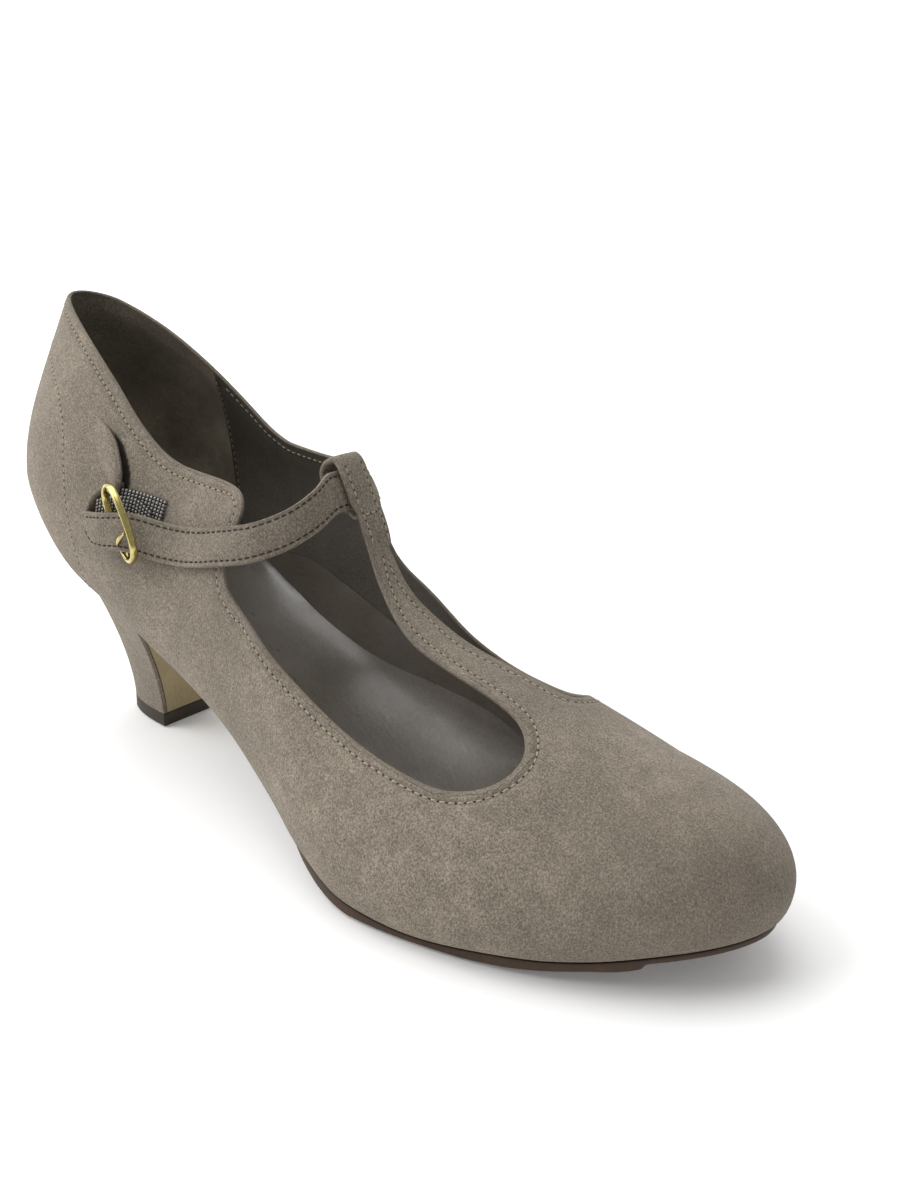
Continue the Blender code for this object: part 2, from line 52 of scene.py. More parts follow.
# The last, as in the part's source
X_BACK, X_HEEL_POLE, X_TOE_POLE, X_TIP = -5.5, 40.0, 205.0, 243.6
HEEL_POWER, TIP_SHIFT, TOE_FALL = 2.2, 7.3, 0.22
SIDES = {
    "lateral": {"sign": -1, "heel": 31.5, "waist": ((70, 31.5), (100, 33.4), (125, 38.4), (140, 42.6)),
                "ball_x": 157.0, "ball": 45.5, "toe_power": 1.83},
    "medial": {"sign": 1, "heel": 30.5, "waist": ((70, 28.5), (100, 29.0), (130, 34.0)),
               "ball_x": 164.0, "ball": 39.3, "toe_power": 1.98},
}
MEDIAL_ARCH = {"x": 100.0, "reach": 30.0, "tuck": 4.0}
FEATHER = ((-6, 55.8), (0, 55.3), (33, 50.0), (45, 46.5), (59, 40.8), (70, 35.8), (82, 31.5), (95, 27.0),
           (120, 16.5), (140, 8.2), (158, 3.6), (175, 2.4), (195, 3.9), (215, 6.5), (230, 9.5), (244, 11.8))
CROWN = ((-5, 152), (40, 128), (60, 115), (76, 106), (92, 102), (104, 99.5), (117, 94), (122, 85),
         (127, 75), (135, 65), (145, 58.5), (160, 53.3), (176, 49.3), (190, 45.9), (205, 42.2), (225, 37.5))
OVERHANG = ((-6, 15.0), (40, 5.2), (80, 6.8), (110, 5.6), (150, 4.0), (190, 5.0), (225, 3.9), (244, 3.5))
TUCK = ((-6, 0.68), (40, 0.8), (75, 1.0), (244, 1.0))
WIDEST = ((-6, 20.0), (40, 20.5), (70, 20.0), (100, 18.0), (160, 13.0), (200, 11.0), (244, 8.1))
COLLAR = ((4.5, 0.0, 125.5), (10, 6.6, 124.3), (18, 10.5, 121.2), (30, 14.2, 115.5), (44, 17.0, 107.3),
          (60, 19.4, 96.2), (68, 19.6, 91.4), (76, 19.1, 89.2), (92, 18.6, 88.5), (110, 18.0, 88.0))
COLLAR_BACK_CURVE, COLLAR_BLEND, COLLAR_SPARE = 8.5, (14.0, 24.0), 7.0
FORE_LEAN, LEAN_BLEND = 0.5, (92.0, 104.0)
WALL, RIM = 1.8, 1.0
GAP = 0.3

# Cut-outs. Columns: x, distance up the 45 degree plane of their side
LATERAL_CUT = ((88, 49.6), (96.5, 48.4), (101, 44.8), (102, 41), (101, 33), (101.8, 28), (105, 24),
               (112.5, 20), (128, 12.4), (152, 5.2), (172, 3.2), (181.5, 5.7), (187, 12), (187.4, 19.5),
               (182, 26.3), (173, 30), (156, 32.7), (147, 34.6), (139, 39), (132, 45), (127, 51.2),
               (121.8, 58.5))
MEDIAL_CUT = ((88, 49.5), (100, 49.9), (105, 49.8), (107, 47), (107.2, 40), (106.3, 34), (107, 28),
              (110, 23), (116, 18.6), (126, 13.2), (138, 7), (151, 2.2), (164, 1.6), (173, 6.4),
              (179.5, 14.5), (182, 21.5), (180, 26.6), (170, 29.4), (162, 32.4), (154, 35.4), (145, 38),
              (136, 42.8), (130, 47), (126, 51.5), (121.8, 57.5))
CUT_BEHIND_BAR = ((121.3, 68), (88, 68))
EAR_ROOM = ((92, 93), (121, 93), (121, 190))

# Loop of the T-bar and the strap through it
LOOP_SEAT, LOOP_DEPTH, LOOP_WIDTH, LOOP_BAND = np.array([119.5, 1.0, 89.5]), 3.3, 7.4, 1.6
LOOP_UP, LOOP_OUT = np.array([-0.465, 0.0, 0.885]), np.array([0.885, 0.0, 0.465])
LOOP_MIDDLE = LOOP_SEAT - LOOP_OUT * LOOP_DEPTH
LOOP_TOP, LOOP_BOTTOM, LOOP_ROOM, LOOP_SLACK, LOOP_POWER = 7.4, 7.2, 1.5, 3.2, 0.45
LOOP_SLACK_RUN, LOOP_ASIDE = (-6.5, 1.5), 0.8
# Columns: distance along the T-bar from the loop's middle, height above the T-bar's face
BAR_RUN = ((-17, -0.6), (-14, 0.05), (-11, 0.25), (-8, 0.15), (-6.5, 0.0))
STRAP_HALF, STRAP_THICK = 5.25, 1.8
STRAP_FROM = (107.6, 83.4)
STRAP_MEDIAL_FREE = ((110.8, 12.0, 85.6),)
STRAP_LATERAL_FREE = ((116.8, -6.5, 87.7), (118.0, -13.0, 85.2), (115.8, -20.5, 81.6), (109.5, -26.6, 78.2))
STRAP_ON_LATERAL = ((101, 75.2), (90, 72.3), (80, 71.3), (70, 71.8), (60, 70.9), (55, 71.0), (50.4, 73.0))
STRAP_TIP = (5.0, 4.2, 1.4)
# How far the strap rises to the ring's bar, and falls again past it
STRAP_RISE, STRAP_FALL = 4.2, 1.6
RING_SEAT, RING_HALF, RING_TILT, RING_POWER = (66.2, 73.6), (10.6, 5.2), 0.72, 2.6
RING_OFFSET, RING_LEAN = 5.8, 0.57

# Elastic webbing. Columns: x, height of its middle
ELASTIC_UNDER = ((75, 77.7), (68, 78.4), (60, 78.6), (54.2, 77.6))
ELASTIC_OVER = ((72, 74.6), (66, 76.8), (60, 76.6), (55, 75.2), (53, 74.4))
ELASTIC_HALF, ELASTIC_THICK = 3.5, 0.8
# Fold of the strap's end round the webbing. Columns: x, height, how far it stands out
END_FOLD = ((59.5, 82.6, 0.5), (56.5, 82.0, 1.4), (53.6, 80.3, 2.2), (51.6, 77.8, 2.7), (50.8, 75.2, 3.0),
            (51.2, 72.8, 3.0))

# Heel and sole
BREAST_TOP, BREAST_FOOT, HEEL_FOOT_BACK, HEEL_FOOT_HALF = 59.0, 48.0, 26.2, 9.6
SHIFT = np.array([BREAST_FOOT - LIFT_HIGH.x / MM, -(LIFT_LOW.y + LIFT_HIGH.y) / 2 / MM, 0])
BACK_FLARE, BREAST_FLARE, HEEL_ROUND, SEAT_INSET, COVER, LIFT = 1.55, 1.5, 2.3, 0.4, 1.2, 4.0
# Roll of the heel's cover under the upper: how far out, its rise at the sides, how much more at the back
ROLL_OUT, ROLL_RISE, ROLL_BACK, ROLL_FADE = 1.1, 0.7, 0.8, (-52, -40)
BREAST_HOLLOW = 1.4
SOLE_START, SOLE_ROLL, SOLE_RISE = 59.9, 9.0, 0.6
SOLE_EDGE = ((59, -2.6), (108, -2.6), (128, -1.0), (146, 0.8), (244, 0.8))
SOLE_UNDER = ((59, 38.6), (70, 33.6), (82, 29.3), (95, 24.8), (112, 17.5), (112.5, 16.4), (120, 13.0),
              (132, 7.5), (140, 4.3), (147, 2.0), (153, 0.6), (158, 0.0), (186, 0.0), (196, 0.5), (206, 1.9),
              (214, 3.2), (225.5, 5.2), (226.3, 6.4), (230, 7.1), (244, 9.4))
TREAD, TREAD_PITCH, TREAD_DEPTH = (118.0, 221.0), 4.0, 0.45
# Medial arch of the sock: where it starts and ends, and its height
ARCH = 40.0, 178.0, 16.0

# Fold of the lateral quarter above the buckle.
# Columns: height, rear edge x, front edge x, how far it stands out
FOLD = ((79.2, 56.8, 58.6, 1.5), (80.6, 55.6, 59.9, 2.2), (82.6, 53.6, 60.0, 2.7), (84.6, 51.4, 59.6, 2.8),
        (87.1, 48.6, 58.3, 2.6), (89.6, 46.4, 56.4, 2.2), (92.4, 44.7, 53.9, 1.7), (95.2, 43.8, 50.0, 1.0),
        (98.0, 43.4, 44.2, 0.2))
# Counter seam. Columns: height, x
COUNTER = ((52, 40.6), (60, 40.2), (72.7, 38.4), (82, 36.7), (91, 33.6), (96, 30.6), (101.6, 24.8),
           (109, 11.7), (113, 1.0))
# Medial seam between vamp and quarter. Columns: height, x
SIDE_SEAM = ((12, 108.5), (30, 111.5), (48, 117), (60, 124))
# Seam of the heel grip in the lining: its foremost bend, and how it curves with height
GRIP_X, GRIP_Z, GRIP_CURVE = 39.7, 78.0, 0.0079
# Stitch rows: their distance from an edge, then the stitches' pitch, length, radius and lift
EDGE_STITCH, BAR_STITCH = 2.3, 1.5
STITCH_SIZE = {"edge": (2.1, 1.45, 0.21, 0.02), "bar": (2.1, 1.45, 0.21, 0.05), "seam": (2.0, 1.3, 0.17, 0.0),
               "rim": (2.2, 1.5, 0.2, 0.1), "grip": (2.2, 1.4, 0.18, 0.0), "strap": (1.95, 1.5, 0.26, 0.0)}


def smooth(table, x, column=1):
    """Monotone cubic curve through one column of a table, for one value or many."""
    rows = np.array(table, float)
    xs, ys = rows[:, 0], rows[:, column]
    step = np.diff(xs)
    rise = np.diff(ys) / step
    slope = np.concatenate(([rise[0]], np.zeros(len(xs) - 2), [rise[-1]]))
    for i in range(1, len(xs) - 1):
        if rise[i - 1] * rise[i] > 0:
            before, after = 2 * step[i] + step[i - 1], step[i] + 2 * step[i - 1]
            slope[i] = (before + after) / (before / rise[i - 1] + after / rise[i])
    x = np.clip(x, xs[0], xs[-1])
    i = np.clip(np.searchsorted(xs, x) - 1, 0, len(xs) - 2)
    s = (x - xs[i]) / step[i]
    start = (1 + 2 * s) * (1 - s) ** 2 * ys[i] + s * (1 - s) ** 2 * step[i] * slope[i]
    return start + s * s * (3 - 2 * s) * ys[i + 1] + s * s * (s - 1) * step[i] * slope[i + 1]


def ease(x, start, end):
    """Smooth step from 0 at start to 1 at end."""
    k = np.clip((x - start) / (end - start), 0, 1)
    return k * k * (3 - 2 * k)


def bell(x, width):
    return np.exp(-(x / width) ** 2)


def unit(v):
    return v / np.linalg.norm(v, axis=-1, keepdims=True)


def power(x, p):
    return np.sign(x) * np.abs(x) ** p


def through(points, parts):
    """Points of a smooth curve that passes through the given points."""
    p = np.array(points, float)
    p = np.vstack((2 * p[0] - p[1], p, 2 * p[-1] - p[-2]))
    run = []
    for i in range(1, len(p) - 2):
        a, b, c, d = p[i - 1:i + 3]
        for t in np.arange(parts) / parts:
            run.append(0.5 * (2 * b + (c - a) * t + (2 * a - 5 * b + 4 * c - d) * t ** 2
                              + (3 * b - a - 3 * c + d) * t ** 3))
    return np.array(run + [p[-2]])


def blur(p, rounds):
    """Smooths a run of points in place, with its ends held."""
    for _ in range(rounds):
        p[1:-1] = (p[:-2] + 2 * p[1:-1] + p[2:]) / 4
    return p


def half_width(x, side):
    c = SIDES[side]
    if x < X_HEEL_POLE:
        reach = (X_HEEL_POLE - x) / (X_HEEL_POLE - X_BACK)
        return c["heel"] * max(0.0, 1 - reach ** HEEL_POWER) ** (1 / HEEL_POWER)
    if x < c["ball_x"]:
        heel = ((X_HEEL_POLE - 20, c["heel"]), (X_HEEL_POLE, c["heel"]))
        ball = ((c["ball_x"], c["ball"]), (c["ball_x"] + 15, c["ball"]))
        return smooth(heel + c["waist"] + ball, x)
    reach = (x - c["ball_x"]) / (X_TIP - c["ball_x"])
    return c["ball"] * max(0.0, 1 - reach ** c["toe_power"]) ** (1 / c["toe_power"])


def collar_half(x):
    back = np.sqrt(max(COLLAR_BACK_CURVE * (x - COLLAR[0][0]), 0))
    k = ease(x, *COLLAR_BLEND)
    return back * (1 - k) + smooth(COLLAR, x) * k


class Rib:
    """One section of the last, from the feather line up to the crown."""

    def __init__(self, x, side):
        c = SIDES[side]
        tip = TIP_SHIFT * max(0.0, (x - c["ball_x"]) / (X_TIP - c["ball_x"])) ** 2
        edge = np.array([x, c["sign"] * half_width(x, side) + tip])
        pole_x = np.clip(x, X_HEEL_POLE, X_TOE_POLE)
        self.pole = np.array([pole_x, TIP_SHIFT / 2 * np.clip((pole_x - 120) / (X_TOE_POLE - 120), 0, 1)])
        self.reach = np.hypot(*(edge - self.pole))
        self.way = (edge - self.pole) / self.reach
        self.over = smooth(OVERHANG, x)
        if side == "medial":
            self.over += MEDIAL_ARCH["tuck"] * bell(x - MEDIAL_ARCH["x"], MEDIAL_ARCH["reach"])
        self.tuck = smooth(TUCK, x)
        self.foot = smooth(FEATHER, x)
        self.wide = self.foot + smooth(WIDEST, x)
        self.crown = smooth(CROWN, x if x < X_HEEL_POLE else pole_x)
        self.top, self.lean = self.crown, FORE_LEAN
        if x < LEAN_BLEND[1]:
            self.lean_to_collar(x)

    def lean_to_collar(self, x):
        """Works out the side's lean so that it passes through the collar's edge."""
        low, high = 0.02, 0.999
        for _ in range(30):
            share = (low + high) / 2
            px, py = self.pole + self.way * self.reach * share
            if px > COLLAR[0][0] and abs(py) < collar_half(px):
                low = share
            else:
                high = share
        height = smooth(COLLAR, px, 2)
        rise = (height - self.wide) / (self.crown - self.wide)
        k = ease(x, *LEAN_BLEND)
        self.lean = np.log(share) / np.log(1 - rise ** 2) * (1 - k) + FORE_LEAN * k
        self.top = min(self.crown, height + COLLAR_SPARE)

    def out(self, z):
        """Distance from the pole at heights z."""
        low = np.arccos(np.clip(1 - (z - self.foot) / (self.wide - self.foot), -1, 1))
        rise = np.clip((z - self.wide) / (self.crown - self.wide), 0, 1)
        below = self.reach - self.over * (1 - np.sin(low)) ** self.tuck
        return np.where(z < self.wide, below, self.reach * (1 - rise ** 2) ** self.lean)

    def points(self, z):
        z = np.atleast_1d(np.array(z, float))
        out = self.out(z)
        plan = self.pole + self.way * out[:, None]
        fall = TOE_FALL * self.way[0] * out * (1 - out / self.reach) ** 2
        drop = np.where((plan[:, 0] > X_TOE_POLE) & (z > self.wide), fall, 0)
        return np.column_stack((plan, z - drop))

    def point(self, z):
        return self.points(z)[0]

    def feather(self, outset):
        """The feather line's place in plan, moved outwards."""
        return self.pole + self.way * (self.reach - self.over + outset)

    def run(self, low, high):
        """Points from the feather line to the top."""
        below = self.foot + (self.wide - self.foot) * (1 - np.cos(np.linspace(0, np.pi / 2, low, False)))
        above = self.wide + (self.top - self.wide) * np.sin(np.linspace(0, np.pi / 2, high))
        return self.points(np.concatenate((below, above)))


def wall(x, z, offset, side="lateral"):
    """Place on a quarter's outer face, with its upward and outward directions."""
    rib = Rib(x, side)
    up = unit(rib.point(z + 0.5) - rib.point(z - 0.5))
    along = Rib(x + 0.5, side).point(z) - Rib(x - 0.5, side).point(z)
    out = unit(np.cross(along, up) * (1 if side == "lateral" else -1))
    return rib.point(z) + out * offset, up, out


# Pieces

def put_in_scene(name, data):
    obj = bpy.data.objects.new(name, data)
    bpy.context.scene.collection.objects.link(obj)
    return obj


def new_piece(name, verts, faces, mat, slot, node=None):
    """Makes a piece from points in millimetres, and lets it ride on the shoe."""
    mesh = bpy.data.meshes.new(name)
    mesh.from_pydata(((np.array(verts) - SHIFT) * MM).tolist(), [], [[int(k) for k in f] for f in faces])
    obj = put_in_scene(name, mesh)
    for m in mat if isinstance(mat, (list, tuple)) else [mat]:
        mesh.materials.append(m)
    mesh.shade_smooth()
    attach(obj, "root")
    if node:
        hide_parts(node)
    return obj


def skin(rings, run_closed=False):
    """Points and faces of a skin over rings of points, with capped ends unless the run is closed."""
    rings = np.array(rings, float)
    rows, count = rings.shape[:2]
    faces = []
    for i in range(rows if run_closed else rows - 1):
        a, b = i * count, (i + 1) % rows * count
        for j in range(count):
            k = (j + 1) % count
            faces.append((a + j, a + k, b + k, b + j))
    if not run_closed:
        faces.append(tuple(range(count))[::-1])
        faces.append(tuple((rows - 1) * count + j for j in range(count)))
    return rings.reshape(-1, 3), faces


def sweep(name, rings, mat, slot, node=None, angle=0.75):
    """Makes a piece from a skin over rings: points merged, faces turned outwards, true corners sharp."""
    obj = new_piece(name, *skin(rings), mat, slot, node)
    bm = bmesh.new()
    bm.from_mesh(obj.data)
    bmesh.ops.remove_doubles(bm, verts=bm.verts, dist=0.00002)
    bmesh.ops.dissolve_degenerate(bm, edges=bm.edges, dist=0.000005)
    bmesh.ops.recalc_face_normals(bm, faces=bm.faces)
    if bm.calc_volume(signed=True) < 0:
        bmesh.ops.reverse_faces(bm, faces=bm.faces)
    bm.to_mesh(obj.data)
    bm.free()
    obj.data.shade_smooth()
    obj.data.set_sharp_from_angle(angle=angle)
    return obj


def soften(obj, width, angle):
    """Rounds the true corners of a piece."""
    soft = obj.modifiers.new("edge", "BEVEL")
    soft.width = width * MM
    soft.segments = 2
    soft.limit_method = "ANGLE"
    soft.angle_limit = angle


# Materials

class Nodes:
    """Short hand for one material's node tree."""

    def __init__(self, name, rough, specular=0.3, metal=0.0, sheen=0.0, sheen_tint=(1, 1, 1), coat=0.0):
        self.mat = bpy.data.materials.new(name)
        self.mat.use_nodes = True
        self.tree = self.mat.node_tree
        self.shader = self.tree.nodes["Principled BSDF"]
        start = {"Roughness": rough, "Specular IOR Level": specular, "Metallic": metal, "Sheen Weight": sheen,
                 "Sheen Roughness": 0.5, "Sheen Tint": (*sheen_tint, 1), "Coat Weight": coat}
        for socket, value in start.items():
            self.put(socket, value)
        self.place = self.add("ShaderNodeTexCoord").outputs["Object"]

    def feed(self, socket, value):
        """Sets a socket to a value, or links it to another node's output."""
        if isinstance(value, bpy.types.NodeSocket):
            self.tree.links.new(value, socket)
        else:
            socket.default_value = value

    def put(self, socket, value):
        self.feed(self.shader.inputs[socket], value)

    def add(self, kind, inputs=None, **props):
        node = self.tree.nodes.new(kind)
        for k, v in props.items():
            setattr(node, k, v)
        for k, v in (inputs or {}).items():
            self.feed(node.inputs[k], v)
        return node

    def noise(self, scale, detail=3.0, rough=0.6, stretch=None):
        """Noise with features of about 1 / scale metres."""
        place = self.place
        if stretch:
            place = self.add("ShaderNodeMapping", {"Vector": place, "Scale": stretch}).outputs[0]
        return self.add("ShaderNodeTexNoise", {"Vector": place, "Scale": scale, "Detail": detail,
                                               "Roughness": rough}).outputs["Fac"]

    def cells(self, scale):
        return self.add("ShaderNodeTexVoronoi", {"Vector": self.place, "Scale": scale}).outputs["Distance"]

    def fit(self, value, low, high, to_low=0.0, to_high=1.0):
        return self.add("ShaderNodeMapRange", {"Value": value, "From Min": low, "From Max": high,
                                               "To Min": to_low, "To Max": to_high}).outputs[0]

    def math(self, operation, a, b=0.0):
        return self.add("ShaderNodeMath", {0: a, 1: b}, operation=operation).outputs[0]

    def mix(self, factor, a, b):
        """Blends two colours, each a node's output or a tuple."""
        a, b = ((*c, 1) if isinstance(c, tuple) else c for c in (a, b))
        return self.add("ShaderNodeMix", {0: factor, 6: a, 7: b}, data_type="RGBA").outputs[2]

    def bump(self, height, strength, distance, under=None):
        inputs = {"Height": height, "Strength": strength, "Distance": distance}
        if under is not None:
            inputs["Normal"] = under
        return self.add("ShaderNodeBump", inputs).outputs[0]

    def axis(self, k, place_mm):
        """Distance in millimetres from a place along one axis of the shoe."""
        part = self.add("ShaderNodeSeparateXYZ", {0: self.place}).outputs[k]
        return self.math("MULTIPLY", self.math("SUBTRACT", part, float((place_mm - SHIFT[k]) * MM)), 1 / MM)

    def attribute(self, name):
        return self.add("ShaderNodeAttribute", attribute_name=name).outputs["Fac"]


def tone(red, green, blue, k=1.0):
    """Linear colour of a screen colour, made k times as bright."""
    c = np.array([red, green, blue]) / 255
    return tuple(np.where(c < 0.04045, c / 12.92, ((c + 0.055) / 1.055) ** 2.4) * k)


SUEDE_TONE = (147, 137, 123)


def suede(name, on_last=False):
    """Napped suede: brushed clouds, granular nap and a soft sheen."""
    m = Nodes(name, 0.95, 0.1, sheen=0.12, sheen_tint=(0.95, 0.9, 0.84))
    cloud = m.fit(m.noise(22, 5, 0.65, (1.0, 1.3, 0.8)), 0.37, 0.63)
    blot = m.fit(m.noise(125, 6, 0.75), 0.36, 0.64)
    grain = m.noise(2500, 5, 0.8, (1.0, 0.9, 0.7))
    tuft = m.noise(520, 5, 0.75)
    # Columns: brightness of a layer, what it follows, that value's start and end, the layer's share at each
    layers = [(0.8, blot, 0, 1, 0.0, 0.85), (0.55, tuft, 0.36, 0.62, 0.36, 0.0),
              (0.24, grain, 0.37, 0.56, 0.8, 0.0), (1.65, grain, 0.52, 0.68, 0.0, 0.5)]
    press = None
    if on_last:
        groove = m.math("ABSOLUTE", m.attribute("seam"))
        # First layer on the last: darker near the openings' edges, partly the raw cut edge and partly painted
        # shade of the rim.
        layers += [(0.5, m.attribute("edge"), 0.0, 0.6, 0.42, 0.0), (0.45, groove, 0.1, 0.8, 0.3, 0.0),
                   # Painted shade that darkens the toe towards its tip.
                   # Painted shadow beside the front edge of the quarter's fold.
                   (0.07, m.attribute("dent_and_shadow"), 0.1, 0.8, 0.0, 0.96), (0.6, m.axis(0, 195), 0, 48, 0.0, 0.35)]
        press = m.bump(m.fit(groove, 0.0, 1.1), 0.7, 0.0006)
    base = m.mix(cloud, tone(*SUEDE_TONE, 0.72), tone(*SUEDE_TONE, 1.34))
    for bright, *driver in layers:
        base = m.mix(m.fit(*driver), base, tone(*SUEDE_TONE, bright))
    m.put("Base Color", base)
    soft = m.bump(m.math("ADD", tuft, m.noise(200, 3, 0.6)), 0.3, 0.0005, press)
    m.put("Normal", m.bump(grain, 0.7, 0.0002, soft))
    return m.mat


def lining():
    """Inside of the upper: dark suede heel grip at the back, smooth lining leather in front of its seam."""
    m = Nodes("lining", 0.5, 0.55, coat=0.12)
    m.put("Coat Roughness", 0.22)
    bend = m.math("POWER", m.math("ABSOLUTE", m.axis(2, GRIP_Z)), 2.0)
    past = m.math("SUBTRACT", m.axis(0, GRIP_X), m.math("MULTIPLY", bend, GRIP_CURVE))
    front = m.fit(past, -0.2, 0.2)
    fibre = m.noise(1700, 4, 0.75)
    grip = m.mix(m.fit(fibre, 0.32, 0.68), tone(74, 68, 58), tone(128, 118, 103))
    # Painted light: the heel grip lighter towards its lower part.
    grip = m.mix(m.fit(m.axis(2, 70), 0, 44, 0.9, 0.0), grip, tone(176, 164, 146))
    grip = m.mix(m.fit(m.noise(70, 4), 0.35, 0.7, 0.0, 0.6), grip, tone(82, 75, 64))
    grain = m.cells(1100)
    hide = m.mix(m.fit(m.noise(45, 4), 0.3, 0.7), tone(104, 98, 91), tone(120, 114, 107))
    # Painted shade: the lining leather darker towards the top, where the strap and ear shade it.
    hide = m.mix(m.fit(m.axis(2, 64), 0, 18, 0.0, 0.7), hide, tone(66, 61, 54))
    hide = m.mix(m.fit(grain, 0.0, 0.6, 0.25, 0.0), hide, tone(56, 51, 45))
    base = m.mix(front, grip, hide)
    base = m.mix(m.fit(m.math("ABSOLUTE", past), 0.0, 0.5, 0.6, 0.0), base, tone(46, 41, 35))
    m.put("Base Color", base)
    m.put("Roughness", m.fit(front, 0, 1, 0.92, 0.33))
    step = m.bump(m.fit(past, -0.3, 0.5), 1.0, 0.0006)
    wave = m.bump(m.noise(90, 3, 0.5), 0.3, 0.001, step)
    m.put("Normal", m.bump(m.math("ADD", m.math("MULTIPLY", fibre, 0.5), grain), 0.25, 0.0003, wave))
    return m.mat


def smooth_leather(name, low, high, rough, coat):
    m = Nodes(name, rough, 0.5, coat=coat)
    m.put("Coat Roughness", 0.2)
    grain = m.cells(900)
    crease = m.noise(160, 5, 0.65, (0.5, 1.5, 1.0))
    base = m.mix(m.fit(m.noise(38, 4), 0.3, 0.7), tone(*low), tone(*high))
    m.put("Base Color", m.mix(m.fit(grain, 0, 0.55, 0.25, 0.0), base, tone(*low, 0.55)))
    m.put("Roughness", m.fit(crease, 0.3, 0.7, rough - 0.08, rough + 0.12))
    m.put("Normal", m.bump(grain, 0.12, 0.0003, m.bump(crease, 0.12, 0.0006)))
    return m.mat


def dense(name, low, high, rough):
    """Rubber or edge paint: fine speckle, light scuffs."""
    m = Nodes(name, rough, 0.35)
    speck = m.noise(500, 5, 0.75)
    scuff = m.noise(70, 6, 0.7, (2.0, 1.0, 0.4))
    base = m.mix(m.fit(scuff, 0.35, 0.72), tone(*low), tone(*high))
    m.put("Base Color", m.mix(m.fit(speck, 0.55, 0.75, 0.0, 0.4), base, tone(*high, 1.3)))
    m.put("Roughness", m.fit(scuff, 0.3, 0.75, rough - 0.1, rough + 0.12))
    m.put("Normal", m.bump(speck, 0.3, 0.0002))
    return m.mat


def thread(name, low, high):
    m = Nodes(name, 0.85, 0.2, sheen=0.1)
    twist = m.noise(2400, 2, 0.5)
    m.put("Base Color", m.mix(twist, tone(*low), tone(*high)))
    m.put("Normal", m.bump(twist, 0.5, 0.0001))
    return m.mat


def brass():
    m = Nodes("brass", 0.22, 0.5, metal=1.0)
    wear = m.noise(420, 6, 0.7)
    m.put("Base Color", m.mix(m.fit(wear, 0.35, 0.75), tone(206, 192, 128), tone(160, 144, 84)))
    m.put("Roughness", m.fit(wear, 0.3, 0.75, 0.14, 0.32))
    m.put("Normal", m.bump(m.noise(1600, 3, 0.6), 0.05, 0.0001))
    return m.mat


def webbing():
    """Black and white woven check, laid out by the band's own length and width."""
    m = Nodes("webbing", 0.85, 0.2, sheen=0.1)
    uv = m.add("ShaderNodeUVMap", uv_map="band").outputs[0]
    part = m.add("ShaderNodeSeparateXYZ", {0: uv}).outputs
    column = m.math("SINE", m.math("MULTIPLY", part[0], 2 * np.pi / 1.2))
    row = m.math("SINE", m.math("MULTIPLY", part[1], 2 * np.pi / 0.95))
    white = m.math("MULTIPLY", m.fit(column, -0.35, 0.3), m.fit(row, -0.75, 0.0))
    fleck = m.fit(m.noise(1500, 3, 0.7), 0.3, 0.7, 0.55, 1.0)
    m.put("Base Color", m.mix(m.math("MULTIPLY", white, fleck), tone(24, 23, 24), tone(205, 200, 192)))
    m.put("Normal", m.bump(m.math("MULTIPLY", column, row), 0.8, 0.0004))
    return m.mat


# Upper

def stations():
    """Places of the ribs, closest at the heel's and the toe's turn and at the T-bar."""
    heel = X_BACK + (X_HEEL_POLE - X_BACK) * (1 - np.sin(np.linspace(np.pi / 2, 0, 34)) ** (2 / HEEL_POWER))
    waist = np.concatenate((np.arange(41, 64, 1.0), np.arange(64.5, 104, 1.4)))
    toe = X_TOE_POLE + (X_TIP - X_TOE_POLE) * np.sin(np.linspace(0, np.pi / 2, 30))
    return np.concatenate((heel, waist, np.arange(104, 136, 1.0), np.arange(136.5, 204, 1.5), toe))


def polygon_distance(points, line):
    """Distance to a closed outline, below 0 inside it."""
    best = np.full(len(points), 1e9)
    inside = np.zeros(len(points), bool)
    for a, b in zip(line, np.roll(line, -1, axis=0)):
        d = b - a
        t = np.clip(((points - a) @ d) / max(d @ d, 1e-12), 0, 1)
        best = np.minimum(best, np.hypot(*(points - a - t[:, None] * d).T))
        if a[1] != b[1]:
            crosses = (a[1] > points[:, 1]) != (b[1] > points[:, 1])
            cross_x = (b[0] - a[0]) * (points[:, 1] - a[1]) / (b[1] - a[1]) + a[0]
            inside ^= crosses & (points[:, 0] < cross_x)
    return np.where(inside, -best, best)


def edge_distance(v):
    """Distance of points on the last to the nearest opening's edge, below 0 inside the opening."""
    rear = [(x, smooth(COLLAR, x, 2)) for x in np.linspace(COLLAR[0][0], 92, 60)]
    collar = np.array([(-30, COLLAR[0][2] + 1)] + rear + list(EAR_ROOM) + [(-30, 190)])
    g = polygon_distance(v[:, [0, 2]], collar)
    for table, sign in ((LATERAL_CUT, -1), (MEDIAL_CUT, 1)):
        line = np.vstack((through(table, 8), CUT_BEHIND_BAR))
        slant = np.column_stack((v[:, 0], (v[:, 2] - sign * v[:, 1]) * np.sqrt(0.5)))
        near = v[:, 1] * sign > -9
        g[near] = np.minimum(g[near], polygon_distance(slant[near], line))
    return g


def last_grid():
    """Points, normals and triangles of the whole last, with one point where ribs meet."""
    xs = stations()
    ribs = [Rib(x, "lateral") for x in xs] + [Rib(x, "medial") for x in xs[-2:0:-1]]
    grid = np.array([rib.run(12, 70) for rib in ribs])
    rows, count = grid.shape[:2]
    i, j = np.meshgrid(np.arange(rows), np.arange(count - 1), indexing="ij")
    a, b = i * count + j, (i + 1) % rows * count + j
    faces = np.concatenate([np.stack(t, -1).reshape(-1, 3) for t in ((a, b, b + 1), (a, b + 1, a + 1))])
    flat = grid.reshape(-1, 3)
    _, first, back = np.unique(np.round(flat, 2), axis=0, return_index=True, return_inverse=True)
    faces = back.reshape(-1)[faces]
    whole = (faces != np.roll(faces, 1, axis=1)).all(axis=1)
    v, f = flat[first], faces[whole]
    n = point_normals(v, f)
    if (n[:, 1] * v[:, 1]).sum() < 0:
        f, n = f[:, ::-1], -n
    return v, n, f


